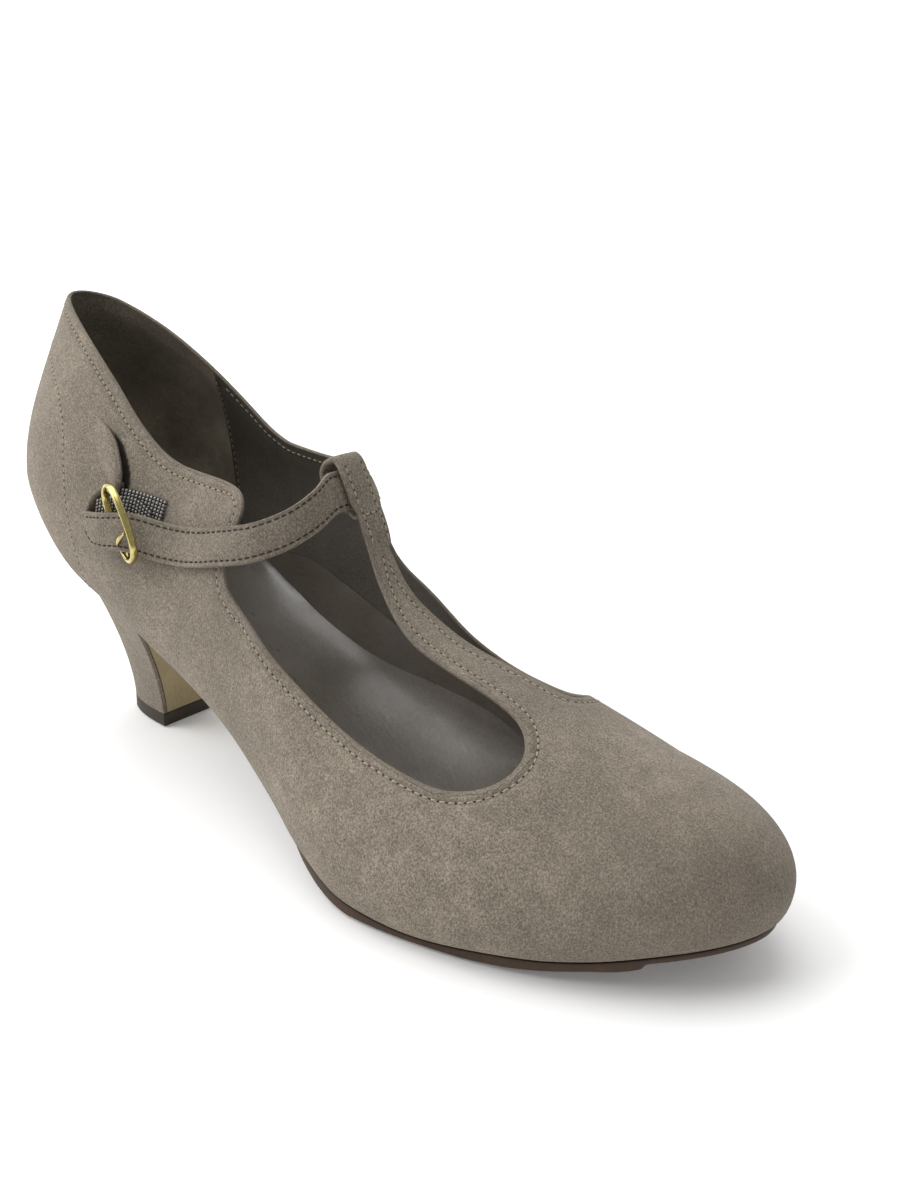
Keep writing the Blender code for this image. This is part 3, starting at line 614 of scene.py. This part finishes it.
def point_normals(v, f):
    n = np.cross(v[f[:, 1]] - v[f[:, 0]], v[f[:, 2]] - v[f[:, 0]])
    total = np.zeros_like(v)
    for k in range(3):
        np.add.at(total, f[:, k], n)
    return unit(total + 1e-12)


def snap_and_clip(v, n, f, g):
    """Keeps the faces where g is above 0, with points moved or added on its edge."""
    p, g = np.column_stack((v, n)), g.copy()
    pairs = np.unique(np.sort(np.concatenate((f[:, [0, 1]], f[:, [1, 2]], f[:, [2, 0]])), axis=1), axis=0)
    pairs = pairs[g[pairs[:, 0]] * g[pairs[:, 1]] < 0]
    best = {}
    for a, b in pairs:
        t = g[a] / (g[a] - g[b])
        for here, there, s in ((a, b, t), (b, a, 1 - t)):
            if s < 0.36 and s < best.get(here, (1,))[0]:
                best[here] = (s, there)
    old = p.copy()
    for here, (s, there) in best.items():
        p[here] = old[here] + s * (old[there] - old[here])
        g[here] = 0.0
    kept, extra, made = [], [], {}
    for tri in f[(g[f] > 0).any(axis=1)]:
        ring = []
        for a, b in zip(tri, np.roll(tri, -1)):
            if g[a] >= 0:
                ring.append(a)
            if g[a] * g[b] < 0:
                key = (min(a, b), max(a, b))
                if key not in made:
                    made[key] = len(p) + len(extra)
                    extra.append(p[a] + g[a] / (g[a] - g[b]) * (p[b] - p[a]))
                ring.append(made[key])
        kept += [(ring[0], ring[k], ring[k + 1]) for k in range(1, len(ring) - 1)]
    p = np.vstack((p, extra)) if extra else p
    g = np.concatenate((g, np.zeros(len(extra))))
    kept = np.array(kept)
    used = np.unique(kept)
    index = np.full(len(p), -1)
    index[used] = np.arange(len(used))
    return p[used, :3], unit(p[used, 3:]), index[kept], g[used]


def edge_loops(f):
    """Closed runs of points round the open edges, with the faces on their left."""
    have = {(a, b) for t in f for a, b in ((t[0], t[1]), (t[1], t[2]), (t[2], t[0]))}
    following = {a: b for a, b in sorted(have) if (b, a) not in have}
    loops = []
    while following:
        a = min(following)
        loop = []
        while a in following:
            loop.append(a)
            a = following.pop(a)
        loops.append(np.array(loop))
    return loops


def thick_shell(v, n, f, thick):
    """Wall with a half-round rim at every edge: points, faces, their materials, each point's source."""
    v, count = v.copy(), len(v)
    loops = [loop for loop in edge_loops(f) if len(loop) > 5]
    for loop in loops:
        for _ in range(6):
            a, b, c = v[np.roll(loop, 1)], v[loop], v[np.roll(loop, -1)]
            da, dc = (np.linalg.norm(b - k, axis=1, keepdims=True) + 1e-6 for k in (a, c))
            v[loop] = b + 0.5 * ((a * dc + c * da) / (da + dc) - b)
    verts, source = [v, v - n * thick[:, None]], [np.arange(count)] * 2
    faces, kinds = [tuple(t) for t in f], [0] * len(f)
    faces += [tuple(t[::-1] + count) for t in f]
    kinds += [1] * len(f)
    total = 2 * count
    for loop in loops:
        way = unit(v[np.roll(loop, -1)] - v[np.roll(loop, 1)] + 1e-9)
        side = unit(np.cross(way, n[loop]))
        rows = [loop]
        for turn in np.linspace(0, np.pi, 6)[1:-1]:
            deep = thick[loop][:, None] * (1 - np.cos(turn)) / 2
            verts.append(v[loop] - n[loop] * deep + side * 0.35 * np.sin(turn))
            source.append(loop)
            rows.append(np.arange(total, total + len(loop)))
            total += len(loop)
        rows.append(loop + count)
        for a, b in zip(rows, rows[1:]):
            faces += list(zip(np.roll(a, -1), a, b, np.roll(b, -1)))
            kinds += [0] * len(loop)
    return np.vstack(verts), faces, kinds, np.concatenate(source)


def contour(v, n, f, field, keep):
    """Runs of points, with normals, where a field crosses 0 on kept points."""
    lines, spots = {}, {}
    for tri in f[(field[f].max(axis=1) > 0) & (field[f].min(axis=1) <= 0) & keep[f].all(axis=1)]:
        ends = []
        for a, b in zip(tri, np.roll(tri, -1)):
            if (field[a] > 0) != (field[b] > 0):
                key = (min(a, b), max(a, b))
                t = field[a] / (field[a] - field[b])
                spots[key] = np.concatenate((v[a] + t * (v[b] - v[a]), n[a] + t * (n[b] - n[a])))
                ends.append(key)
        if len(ends) == 2:
            lines.setdefault(ends[0], []).append(ends[1])
            lines.setdefault(ends[1], []).append(ends[0])
    runs, seen = [], set()
    for start in sorted(lines, key=lambda k: (len(lines[k]), k)):
        if start in seen:
            continue
        run, ahead = [], [start]
        while ahead:
            run.append(ahead[0])
            seen.add(ahead[0])
            ahead = [k for k in lines[run[-1]] if k not in seen]
        if len(run) > 6:
            runs.append(np.array([spots[k] for k in run]))
    return runs


def even_run(run, pitch):
    """Places, directions and normals at an even pitch along a run, which is first smoothed."""
    p = blur(run.copy(), 3)
    far = np.concatenate(([0], np.cumsum(np.linalg.norm(np.diff(p[:, :3], axis=0), axis=1))))
    at = np.arange(pitch / 2, far[-1], pitch)

    def place(d):
        return np.column_stack([np.interp(d, far, p[:, k]) for k in range(6)])

    here = place(at)
    way = unit(place(at + 0.4)[:, :3] - place(at - 0.4)[:, :3] + 1e-9)
    normal = unit(here[:, 3:])
    normal = unit(normal - way * (normal * way).sum(axis=1, keepdims=True))
    return here[:, :3], way, normal


STITCHES = {"thread": [], "dark_thread": [], "hole": []}


def stitch(run, size, kind="thread"):
    """Adds a row of stitches; rows of light thread also get a needle hole between each two."""
    if len(run) < 2:
        return
    pitch, length, radius, lift = STITCH_SIZE[size]
    spot, way, normal = even_run(run, pitch)
    across = np.cross(way, normal)
    end, shoulder = (0.35, -0.5), (0.85, -0.05)
    shape = ((-0.5, *end), (-0.36, *shoulder), (0, 1.0, 0.15), (0.36, *shoulder), (0.5, *end))
    ring = np.array([[(t * length, radius * w * np.cos(a), radius * (0.8 * w * np.sin(a) + h) + lift)
                      for a in np.linspace(0, 2 * np.pi, 7)[:6]] for t, w, h in shape])
    turn = np.linspace(0, 2 * np.pi, 9)[:8, None]
    for s, w, c, n in zip(spot, way, across, normal):
        STITCHES[kind].append(s + ring[..., :1] * w + ring[..., 1:2] * c + ring[..., 2:] * n)
        if kind == "thread":
            # Needle hole: a dark disc in the suede; its dark colour is painted shade of the hole.
            rim = s + w * pitch / 2 + 0.3 * np.cos(turn) * w + 0.22 * np.sin(turn) * c
            STITCHES["hole"].append(np.array([rim - 0.3 * n, rim + 0.05 * n]))


def sew():
    """Builds the stitches of each thread as one piece, and the needle holes between them as another."""
    looks = {"thread": ("stitches_thread", thread("thread", (140, 130, 113), (186, 175, 155))),
             "dark_thread": ("stitches_dark_thread", thread("dark_thread", (38, 31, 25), (66, 55, 45))),
             "hole": ("needle_holes", dense("needle_hole", (48, 42, 35), (60, 53, 45), 0.9))}
    for kind, (name, look) in looks.items():
        verts, faces = [], []
        for rings in STITCHES[kind]:
            v, f = skin(rings)
            faces += [tuple(len(verts) * len(v) + k for k in face[::-1]) for face in f]
            verts.append(v)
        new_piece(name, np.vstack(verts), faces, look, "upper")


def upper():
    """Suede shell with its lining, a shallow dent with painted shadow beside the quarter's fold, and the
    stitch rows on it.
    """
    v, n, f = last_grid()
    x, y, z = v.T
    g = edge_distance(v)
    on_bar = ease(z, 50, 60) * ease(x, 108, 112) * ease(-x, -150, -140)
    stitch_at = g - (EDGE_STITCH + (BAR_STITCH - EDGE_STITCH) * on_bar)
    past = x - smooth(FOLD, z, 2)
    # Beside the front edge of the lateral quarter's fold: a shallow dent, and painted shadow in the suede's
    # colour.
    dent_and_shadow = ease(past, -2.5, -1.5) * ease(-past, -1.7, -0.5) * (y < 0) * ease(z, 76, 79) * ease(-z, -97, -92)
    dent = n * (0.8 * dent_and_shadow)[:, None]
    sv, sn, sf, sg = snap_and_clip(v, n, f, g)
    near = {tuple(np.round(p, 3)): k for k, p in enumerate(v)}
    index = np.array([near.get(tuple(np.round(p, 3)), -1) for p in sv])
    known = index >= 0
    seam, dark, push = np.full(len(sv), 9.0), np.zeros(len(sv)), np.zeros_like(sv)
    seam[known], dark[known], push[known] = stitch_at[index[known]], dent_and_shadow[index[known]], dent[index[known]]
    thick = RIM + (WALL - RIM) * ease(sg, 0, 6)
    verts, faces, kinds, source = thick_shell(sv - push, sn, sf, thick)
    obj = new_piece("suede_upper", verts, faces, [suede("suede", on_last=True), lining()], "upper", "upper")
    obj.data.polygons.foreach_set("material_index", kinds)
    for name, values in (("edge", np.clip(sg, 0, 60)), ("seam", np.clip(seam, -9, 9)), ("dent_and_shadow", dark)):
        layer = obj.data.attributes.new(name, "FLOAT", "POINT")
        layer.data.foreach_set("value", values[source].astype(np.float32))
    inside = g > EDGE_STITCH + 0.8
    counter, side_seam = (x - np.interp(z, *np.array(table, float).T) for table in (COUNTER, SIDE_SEAM))
    grip = x - 1.0 - GRIP_X - GRIP_CURVE * (z - GRIP_Z) ** 2
    rows = (("edge", 0, stitch_at, g > 0.5),
            ("seam", 0, counter, inside & (x < 60) & (x > 2)),
            ("seam", 0, side_seam, inside & (y > 5) & (z < 70)),
            ("rim", RIM + 0.3, g - 2.0, (y > 2) & (x > 48) & (x < 107) & (z > 66)),
            ("grip", WALL + 0.02, grip, (g > 1.5) & (x < 60) & (z > 56)))
    for size, depth, field, keep in rows:
        for run in contour(v - n * depth, -n if depth else n, f, field, keep):
            stitch(run, size)


def quarter_fold():
    """Fold of suede that stands out of the lateral quarter, free along its front edge."""
    rings = []
    for z in np.linspace(FOLD[-1][0], FOLD[0][0], 40):
        rear, front, rise = (smooth(FOLD, z, k) for k in (1, 2, 3))
        outer, inner = [], []
        for t in np.linspace(0, 1, 18):
            x = rear + (front - rear) * t
            h = rise * np.sin(np.pi / 2 * min(t / 0.9, 1)) ** 1.7 - 0.12 * (1 - t)
            h -= 0.3 * rise * ease(t, 0.84, 1.1)
            outer.append(wall(x, z, h)[0])
            inner.append(wall(x - 0.25 * t, z, max(h - 1.1, -0.6))[0])
        rings.append(outer + inner[::-1])
    sweep("quarter_fold", rings, SUEDE, "upper", angle=1.2)


def loop_point(turn, band):
    """Point round the strap, close to its front face and slack behind it."""
    shape = LOOP_POWER if np.cos(turn) < 0 else LOOP_POWER + 0.25 * np.cos(turn)
    c, s = power(np.cos(turn), shape), power(np.sin(turn), shape)
    t = c * ((LOOP_TOP if c > 0 else LOOP_BOTTOM) + band)
    room = LOOP_ROOM if s > 0 else LOOP_ROOM + LOOP_SLACK * ease(t, *LOOP_SLACK_RUN)
    return LOOP_MIDDLE + LOOP_UP * t + LOOP_OUT * s * (room + band)


def bar_loop():
    """End of the T-bar: it runs up in front of the strap, over it and down behind it."""
    path = []
    for t, lift in through(BAR_RUN, 6):
        outer = LOOP_MIDDLE + LOOP_UP * t + LOOP_OUT * (LOOP_DEPTH + lift)
        path.append((outer - LOOP_OUT * 0.7, outer))
    for turn in np.linspace(0.6 * np.pi, -1.22 * np.pi, 110):
        path.append((loop_point(turn, 0), loop_point(turn, LOOP_BAND)))
    path = blur(np.array(path), 5)
    steps = np.linspace(0, 1, len(path))
    halves = np.interp(steps, (0, 0.2, 0.66, 0.78, 1), (4.0, 4.6, 4.5, 2.4, 2.0))
    thins = np.interp(steps, (0, 0.66, 0.78, 1), (1, 1, 0.6, 0.5))
    edge = ((0.0, 0.6), (0.14, 0.2), (0.5, 0.0), (0.86, 0.2), (1.0, 0.6))
    rings = []
    for (a, b), half, thin in zip(path, halves, thins):
        section = [(k, half - d) for k, d in edge] + [(1.06, 0.0)] + [(k, d - half) for k, d in edge[::-1]]
        rings.append([a + (b - a) * k * thin + np.array([0, y + LOOP_ASIDE, 0]) for k, y in section])
    sweep("bar_loop", rings, SUEDE, "upper", angle=1.2)
    half = 4.4
    for side in (-1, 1):
        row = path[3:40, 1] + np.array([0, LOOP_ASIDE + side * (half - BAR_STITCH), 0])
        stitch(np.column_stack((row, np.tile(LOOP_OUT, (len(row), 1)))), "bar")
    foot = LOOP_MIDDLE + LOOP_UP * -7.6 + LOOP_OUT * (LOOP_DEPTH + 0.3)
    across = [foot + np.array([0, y + LOOP_ASIDE, 0]) for y in np.linspace(1.8 - half, half - 1.8, 8)]
    stitch(np.column_stack((across, np.tile(LOOP_OUT, (8, 1)))), "bar")


# Strap, elastic and buckle

def free_knots(points, first, more, a, b):
    """Knots of a free stretch of the strap, whose directions turn from knot a's to knot b's."""
    shares = (np.arange(len(points)) + first) / (len(points) + more)
    return [(np.array(p), *(unit(a[i] * (1 - s) + b[i] * s) for i in (1, 2))) for p, s in zip(points, shares)]


def strap_frames():
    """Middles, upward and outward directions and half widths along the strap."""
    start = wall(*STRAP_FROM, -WALL / 2, "medial")
    behind = wall(STRAP_FROM[0] - 2.5, STRAP_FROM[1] - 0.2, -WALL / 2 - 0.25, "medial")
    lateral = [wall(x, z, GAP + STRAP_THICK / 2) for x, z in STRAP_ON_LATERAL]
    side = np.array([0, LOOP_WIDTH / 2 + 1.2, 0])
    in_loop = [(LOOP_MIDDLE + side * k - LOOP_OUT * back, LOOP_UP, LOOP_OUT)
               for k, back in ((1, 2.4), (0, 0.5), (-1, 0))]
    knots = [behind, start] + free_knots(STRAP_MEDIAL_FREE, 1, 0.6, start, in_loop[0]) + in_loop
    knots += free_knots(STRAP_LATERAL_FREE, 0.6, 0.2, in_loop[-1], lateral[0]) + lateral
    halves = [STRAP_HALF] * (len(knots) - len(STRAP_TIP)) + list(STRAP_TIP)
    parts = 10
    middles, ups, outs = (through([k[i] for k in knots], parts) for i in range(3))
    ups = unit(ups)
    outs = unit(outs - ups * (outs * ups).sum(axis=1, keepdims=True))
    halves = through([(k, h) for k, h in enumerate(halves)], parts)[:, 1]
    x = middles[:, 0]
    rise = STRAP_RISE * ease(-x, -86, -66) - STRAP_FALL * ease(-x, -61, -52)
    middles = middles + outs * np.where(middles[:, 1] < -15, rise, 0)[:, None]
    return middles, ups, outs, np.clip(halves, 0.8, STRAP_HALF)


def strap_section(half):
    """Half-round edges, a slight crown outside and a furrow under each stitch row."""
    thick = STRAP_THICK
    us = np.linspace(-1, 1, 25) * (half - 0.3)
    furrow = 0.22 * bell(np.abs(us) - (half - 1.4), 0.45) if half > 2.5 else 0
    top = thick / 2 - 0.12 + 0.25 * (1 - (us / half) ** 2) - furrow
    outer = list(zip(us, top))
    right = [(half - 0.08, thick * 0.22), (half, 0), (half - 0.08, -thick * 0.25)]
    inner = [(half - 0.35, -thick / 2), (0, -thick / 2), (-half + 0.35, -thick / 2)]
    return outer + right + inner + [(-u, n) for u, n in right[::-1]]


def strap():
    middles, ups, outs, halves = strap_frames()
    rings = []
    for m, u, o, h in zip(middles, ups, outs, halves):
        rings.append([m + u * a + o * b for a, b in strap_section(h)])
    sweep("strap", rings, SUEDE, "ankle_strap", "ankle_strap")
    for sign in (-1, 1):
        row = np.maximum(halves - 1.4, 0.1)[:, None] * sign
        line = middles + ups * row + outs * (STRAP_THICK / 2 - 0.18)
        stitch(np.column_stack((line, outs))[12:-5], "strap", "dark_thread")


def band(name, table, offset, mat, node=None):
    """Woven band on the lateral quarter, with its own length and width as UV, in millimetres."""
    half, thick = ELASTIC_HALF, ELASTIC_THICK
    run = [wall(x, z, offset + thick / 2) for x, z in through(table, 8)]
    rings, marks, far = [], [], 0.0
    across = np.linspace(-1, 1, 13)
    for k, (m, u, o) in enumerate(run):
        if k:
            far += np.linalg.norm(m - run[k - 1][0])
        outer = [m + u * half * a + o * (thick / 2 - 0.12 * a ** 8) for a in across]
        inner = [m + u * half * a - o * thick / 2 for a in across[::-1]]
        rings.append(outer + inner)
        marks.append([(far, half * a) for a in (*across, *across[::-1])])
    obj = new_piece(name, *skin(rings), mat, "elastic_tab", node)
    places = np.array(marks, np.float32).reshape(-1, 2)[[c.vertex_index for c in obj.data.loops]]
    obj.data.uv_layers.new(name="band").data.foreach_set("uv", places.ravel())
    obj.data.set_sharp_from_angle(angle=0.8)


def elastic():
    """Two layers of webbing; the upper one comes back from the buckle at a slant."""
    check = webbing()
    band("elastic", ELASTIC_UNDER, 0.1, check, "elastic_tab")
    band("elastic_return", ELASTIC_OVER, 1.1, check)


def end_fold():
    """Turned edge of the strap's end, standing on the quarter behind the webbing."""
    run = through(END_FOLD, 8)
    places = [wall(x, z, 0) for x, z, _ in run]
    p, outs = np.array([k[0] for k in places]), np.array([k[2] for k in places])
    across = unit(np.cross(outs, np.gradient(p, axis=0)))
    rings = []
    for m, o, c, h in zip(p, outs, across, run[:, 2]):
        flank = [(0.75, -0.3), (0.75, h - 0.5), (0.45, h - 0.1)]
        section = [(-a, b) for a, b in flank] + [(0, h)] + flank[::-1]
        rings.append([m + c * a + o * b for a, b in section])
    sweep("strap_end_fold", rings, SUEDE, "ankle_strap", angle=1.0)


def buckle_frame():
    """Middle of the ring, with the directions along it, across it and square to it."""
    middle, up, out = wall(*RING_SEAT, RING_OFFSET)
    front = np.cross(up, out)
    front = front * np.sign(front[0])
    length = up * np.cos(RING_TILT) - front * np.sin(RING_TILT)
    width = front * np.cos(RING_TILT) + up * np.sin(RING_TILT)
    raised = width * np.cos(RING_LEAN) + out * np.sin(RING_LEAN)
    square = out * np.cos(RING_LEAN) - width * np.sin(RING_LEAN)
    return middle, length, raised, square


def wire(points, width, depth, side, closed):
    """Wire of rounded section along points: width towards side, depth across it."""
    p = np.array(points)
    way = unit(np.roll(p, -1, axis=0) - np.roll(p, 1, axis=0) if closed else np.gradient(p, axis=0))
    side = np.broadcast_to(side, p.shape)
    other = unit(np.cross(way, side))
    side = np.cross(other, way)
    turn = np.linspace(0, 2 * np.pi, 19)[:18]
    c, s = power(np.cos(turn), 0.75)[:, None], power(np.sin(turn), 0.75)[:, None]
    width, depth = (np.broadcast_to(k, len(p)) for k in (width, depth))
    rings = [p[k] + c * side[k] * width[k] / 2 + s * other[k] * depth[k] / 2 for k in range(len(p))]
    return skin(rings, run_closed=closed)


def buckle():
    middle, length, raised, square = buckle_frame()

    def at(along, across, lift):
        return middle + length * along + raised * across + square * lift

    metal = brass()
    long, short = RING_HALF
    oval = [at(long * power(np.cos(t), 2 / RING_POWER), short * power(np.sin(t), 2 / RING_POWER), 0)
            for t in np.linspace(0, 2 * np.pi, 120, False)]
    new_piece("buckle_ring", *wire(oval, 2.0, 1.3, square, True), metal, "buckle_frame", "buckle_frame")
    bar = [at(long * k, 0, -1.9 * (1 - k ** 4)) for k in np.linspace(-0.98, 0.98, 24)]
    new_piece("buckle_bar", *wire(bar, 1.1, 1.1, square, False), metal, "buckle_frame")
    share = np.linspace(0, 1, 28)
    pin = [at(-4.6, short * (-0.85 + 1.55 * k), 0.9 + 0.9 * np.sin(np.pi * k) ** 0.7) for k in share]
    taper = np.interp(share, (0, 0.08, 0.75, 1), (0.9, 1.3, 1.15, 0.6))
    new_piece("buckle_pin", *wire(pin, taper, taper, square, False), metal, "buckle_prong", "buckle_prong")


# Heel, sole and sock

def heel_seat(side):
    """Back and half width of the heel's top, just inside the feather line."""
    back, half = Rib(X_BACK, side).feather(-SEAT_INSET), Rib(X_HEEL_POLE, side).feather(-SEAT_INSET)
    return back[0], abs(half[1])


HEEL_SEAT = {side: heel_seat(side) for side in SIDES}


def heel_line(share, inset, steps):
    """Half-round outline of the heel at a share of its height, from the lateral to the medial breast."""
    line = []
    for turn in np.linspace(-np.pi / 2, np.pi / 2, steps):
        c = power(np.cos(turn), 2 / HEEL_ROUND) if abs(turn) < np.pi / 2 else 0.0
        s = power(np.sin(turn), 2 / HEEL_ROUND)
        back, half = HEEL_SEAT["lateral" if turn < 0 else "medial"]
        foot_x = BREAST_FOOT - (BREAST_FOOT - HEEL_FOOT_BACK - inset) * c
        foot = np.array([foot_x, (HEEL_FOOT_HALF - inset) * s])
        seat = np.array([BREAST_TOP - (BREAST_TOP - back - inset) * c, (half - inset) * s])
        line.append(foot + (seat - foot) * share ** (BREAST_FLARE + (BACK_FLARE - BREAST_FLARE) * c))
    return np.array(line)


HEEL_ROWS = np.linspace(0, 1, 44)


def heel_rings(inset, steps):
    seat = smooth(FEATHER, heel_line(1, inset, steps)[:, 0]) - GAP
    foot = LIFT + GAP
    return [np.column_stack((heel_line(k, inset, steps), foot + (seat - foot) * k)) for k in HEEL_ROWS]


def heel():
    """Suede cover, breast panel and top lift."""
    outer, inner = heel_rings(0, 65), heel_rings(COVER, 65)
    for k, ring in zip(HEEL_ROWS, outer):
        away = ring[:, :2] - np.array([BREAST_TOP - 16, 0])
        ring[:, :2] += unit(away) * (ROLL_OUT * ease(k, 0.86, 1.0)) * ease(-ring[:, :1], *ROLL_FADE)
        rise = (ROLL_RISE + ROLL_BACK * ease(-ring[:, 0], -25, -3)) * ease(k, 0.9, 1.0)
        ring[:, 2] += rise * ease(-ring[:, 0], *ROLL_FADE)
    rings = [np.vstack((a, b[::-1])) for a, b in zip(outer, inner)]
    soften(sweep("heel_suede", rings, SUEDE, "heel_cover", "heel_cover"), 0.4, 0.9)
    rings = []
    for k, ring in zip(HEEL_ROWS, heel_rings(COVER + GAP, 33)):
        across = np.linspace(0, 1, 16)[1:-1, None]
        breast = ring[-1] + (ring[0] - ring[-1]) * across
        breast[:, 0] -= BREAST_HOLLOW * ease(k, 0.0, 0.5) * np.sin(np.pi * across[:, 0])
        rings.append(np.vstack((ring, breast)))
    panel = smooth_leather("breast_panel", (142, 126, 90), (160, 143, 104), 0.5, 0.03)
    sweep("heel_breast", rings, panel, "heel_block", "heel_block")
    rings = []
    for z, inset in ((0, 0.35), (0.12, 0.12), (0.35, 0), (LIFT - 0.3, 0), (LIFT, 0.25)):
        rings.append([(x, y, z) for x, y in heel_line(0, inset, 65)])
    rubber = dense("lift_rubber", (48, 41, 33), (66, 57, 46), 0.6)
    sweep("lift", rings, rubber, "heel_top_lift", "heel_top_lift")


def sole():
    """Thin sole with a rolled edge and fine cross ribs on its tread pad."""
    steps = [x for x, _ in SOLE_UNDER]
    xs = np.unique(np.concatenate(([SOLE_START], stations(), np.arange(*TREAD, 0.5), steps)))
    xs = xs[(xs >= SOLE_START) & (xs <= X_TIP)]
    inward = np.linspace(0.06, 0.94, 15)
    rings = []
    for x in xs:
        low, high, edge = smooth(SOLE_UNDER, x), smooth(FEATHER, x) - GAP, smooth(SOLE_EDGE, x)
        rib = [Rib(x, side) for side in SIDES]
        rise = min(SOLE_RISE, (high - low) * 0.3)
        outline = ((-0.6, high), (-0.15, high - 0.12), (0.0, high - 0.4), (0.02, low + rise + 0.4),
                   (-0.12, low + rise + 0.1), (-0.5, low + rise * 0.85), (-SOLE_ROLL / 2, low + rise * 0.2))
        lateral, medial = ([np.append(r.feather(edge + o), z) for o, z in outline] for r in rib)
        a, b = (r.feather(edge - SOLE_ROLL) for r in rib)
        wave = np.clip(np.sin(2 * np.pi * x / TREAD_PITCH) * 2.5, 0, 1)
        cut = TREAD_DEPTH * wave if TREAD[0] < x < TREAD[1] else 0.0
        under = [np.append(a + (b - a) * k, low + cut * (0.0 < k < 1.0)) for k in inward]
        rings.append(lateral + [np.append(a, low)] + under + [np.append(b, low)] + medial[::-1])
    rubber = dense("sole_rubber", (62, 47, 35), (80, 62, 47), 0.6)
    sweep("sole", rings, rubber, "outsole", "outsole", 0.6)


def sock():
    """Sock on the insole. On the medial arch it turns up the wall in a wide curve."""
    rings = []
    for x in stations()[2:-2]:
        lateral, medial = Rib(x, "lateral"), Rib(x, "medial")
        low, high = lateral.foot + 0.2, lateral.foot + 2.0
        a, b = lateral.feather(-1.5), medial.feather(-1.5)
        rear, front, rise = ARCH
        top = high + 1.0 + rise * ease(x, rear, rear + 40) * ease(-x, -front, 45 - front)
        end = np.append(medial.pole + medial.way * (medial.out(np.array(top)) - WALL - 0.25), top)
        start = np.append(a + (b - a) * 0.5, high)
        corner = np.append(b * 0.12 + end[:2] * 0.88, high)
        flat = [np.append(a + (b - a) * k, high + (1 - k / 0.5) ** 6) for k in np.linspace(0, 0.5, 16, False)]
        bend = [start * (1 - k) ** 2 + 2 * corner * k * (1 - k) + end * k * k for k in np.linspace(0, 1, 24)]
        rings.append(flat + bend + [np.append(b, low), np.append(a, low)])
    hide = smooth_leather("sock_leather", (97, 90, 81), (115, 107, 97), 0.33, 0.45)
    sweep("sock", rings, hide, "insole", "insole")


# Stage

def stage():
    """Pale seamless floor with a painted glow that grows towards the back, large soft lamps, and the camera.
    """
    near, start, bend, height = -4.0, 2.2, 1.6, 6.0
    run = [(near, 0), (start, 0)]
    run += [(start + bend * np.sin(t), bend - bend * np.cos(t)) for t in np.linspace(0.1, 1.57, 20)]
    run.append((start + bend, height))
    back, side = np.array([-0.63, 0.776, 0]), np.array([0.776, 0.63, 0])
    verts = [back * d + side * w + np.array([0, 0, z - 0.0003]) for d, z in run for w in (-7, 7)]
    faces = [(2 * k, 2 * k + 1, 2 * k + 3, 2 * k + 2) for k in range(len(run) - 1)]
    mesh = bpy.data.meshes.new("floor")
    mesh.from_pydata([tuple(v) for v in verts], [], faces)
    mesh.shade_smooth()
    put_in_scene("floor", mesh)
    m = Nodes("floor_paper", 0.9, 0.1)
    m.put("Base Color", m.mix(m.noise(3, 2), (0.93, 0.93, 0.925), (0.95, 0.95, 0.945)))
    # Painted light: the floor glows, faintly near the shoe, which lifts its shadows, and more towards the
    # back.
    far = m.add("ShaderNodeVectorMath", {0: m.place, 1: tuple(back)}, operation="DOT_PRODUCT")
    m.put("Emission Color", (1, 1, 1, 1))
    m.put("Emission Strength", m.fit(far.outputs["Value"], 0.4, 1.8, 0.1, 0.9))
    mesh.materials.append(m.mat)
    lamp("key", (-1.1, -0.95, 1.3), 1.6, 28)
    lamp("top", (-0.35, 0.1, 1.7), 1.5, 13)
    world = bpy.data.worlds.new("studio")
    world.use_nodes = True
    light = world.node_tree.nodes["Background"].inputs
    light["Color"].default_value = (1, 1, 1, 1)
    light["Strength"].default_value = 0.38
    bpy.context.scene.world = world
    bpy.context.scene.view_settings.view_transform = "Standard"
    camera()


def stand(name, data, x, y, z, spot):
    """Puts a lamp or camera at a spot in metres, with its axes along x, y and z."""
    obj = put_in_scene(name, data)
    obj.matrix_world = Matrix(np.column_stack((x, y, z, spot)).tolist() + [[0, 0, 0, 1]])
    return obj


def lamp(name, spot, size, power_w):
    """Soft round lamp that points at the shoe."""
    light = bpy.data.lights.new(name, "AREA")
    light.shape = "DISK"
    light.size = size
    light.energy = power_w
    z = unit(np.array(spot) - np.array([0.0, 0.0, 0.04]))
    x = unit(np.cross(np.array([0, 0, 1.0]), z))
    stand(name, light, x, np.cross(z, x), z, spot)


def camera():
    """The photograph's viewpoint: turn, fall and roll in radians, focal length in its pixels."""
    turn, fall, roll, focal, photo_height = 0.68363, 0.370897, 0.034016, 1261.49, 1200
    place = np.array([332.634, -222.629, 178.890])
    right = np.array([np.cos(turn), np.sin(turn), 0])
    ahead = np.array([-np.sin(turn), np.cos(turn), 0])
    up = ahead * np.sin(fall) + np.array([0, 0, np.cos(fall)])
    look = ahead * np.cos(fall) - np.array([0, 0, np.sin(fall)])
    x = right * np.cos(roll) + up * np.sin(roll)
    y = up * np.cos(roll) - right * np.sin(roll)
    cam = bpy.data.cameras.new("photo_view")
    cam.sensor_width = 36.0
    cam.lens = cam.sensor_width * focal / photo_height
    cam.clip_start = 0.01
    bpy.context.scene.camera = stand("photo_view", cam, x, y, -look, (place - SHIFT) * MM)


SUEDE = suede("suede_plain")
upper()
quarter_fold()
bar_loop()
strap()
elastic()
end_fold()
buckle()
heel()
sole()
sock()
sew()
stage()

bpy.context.view_layer.update()
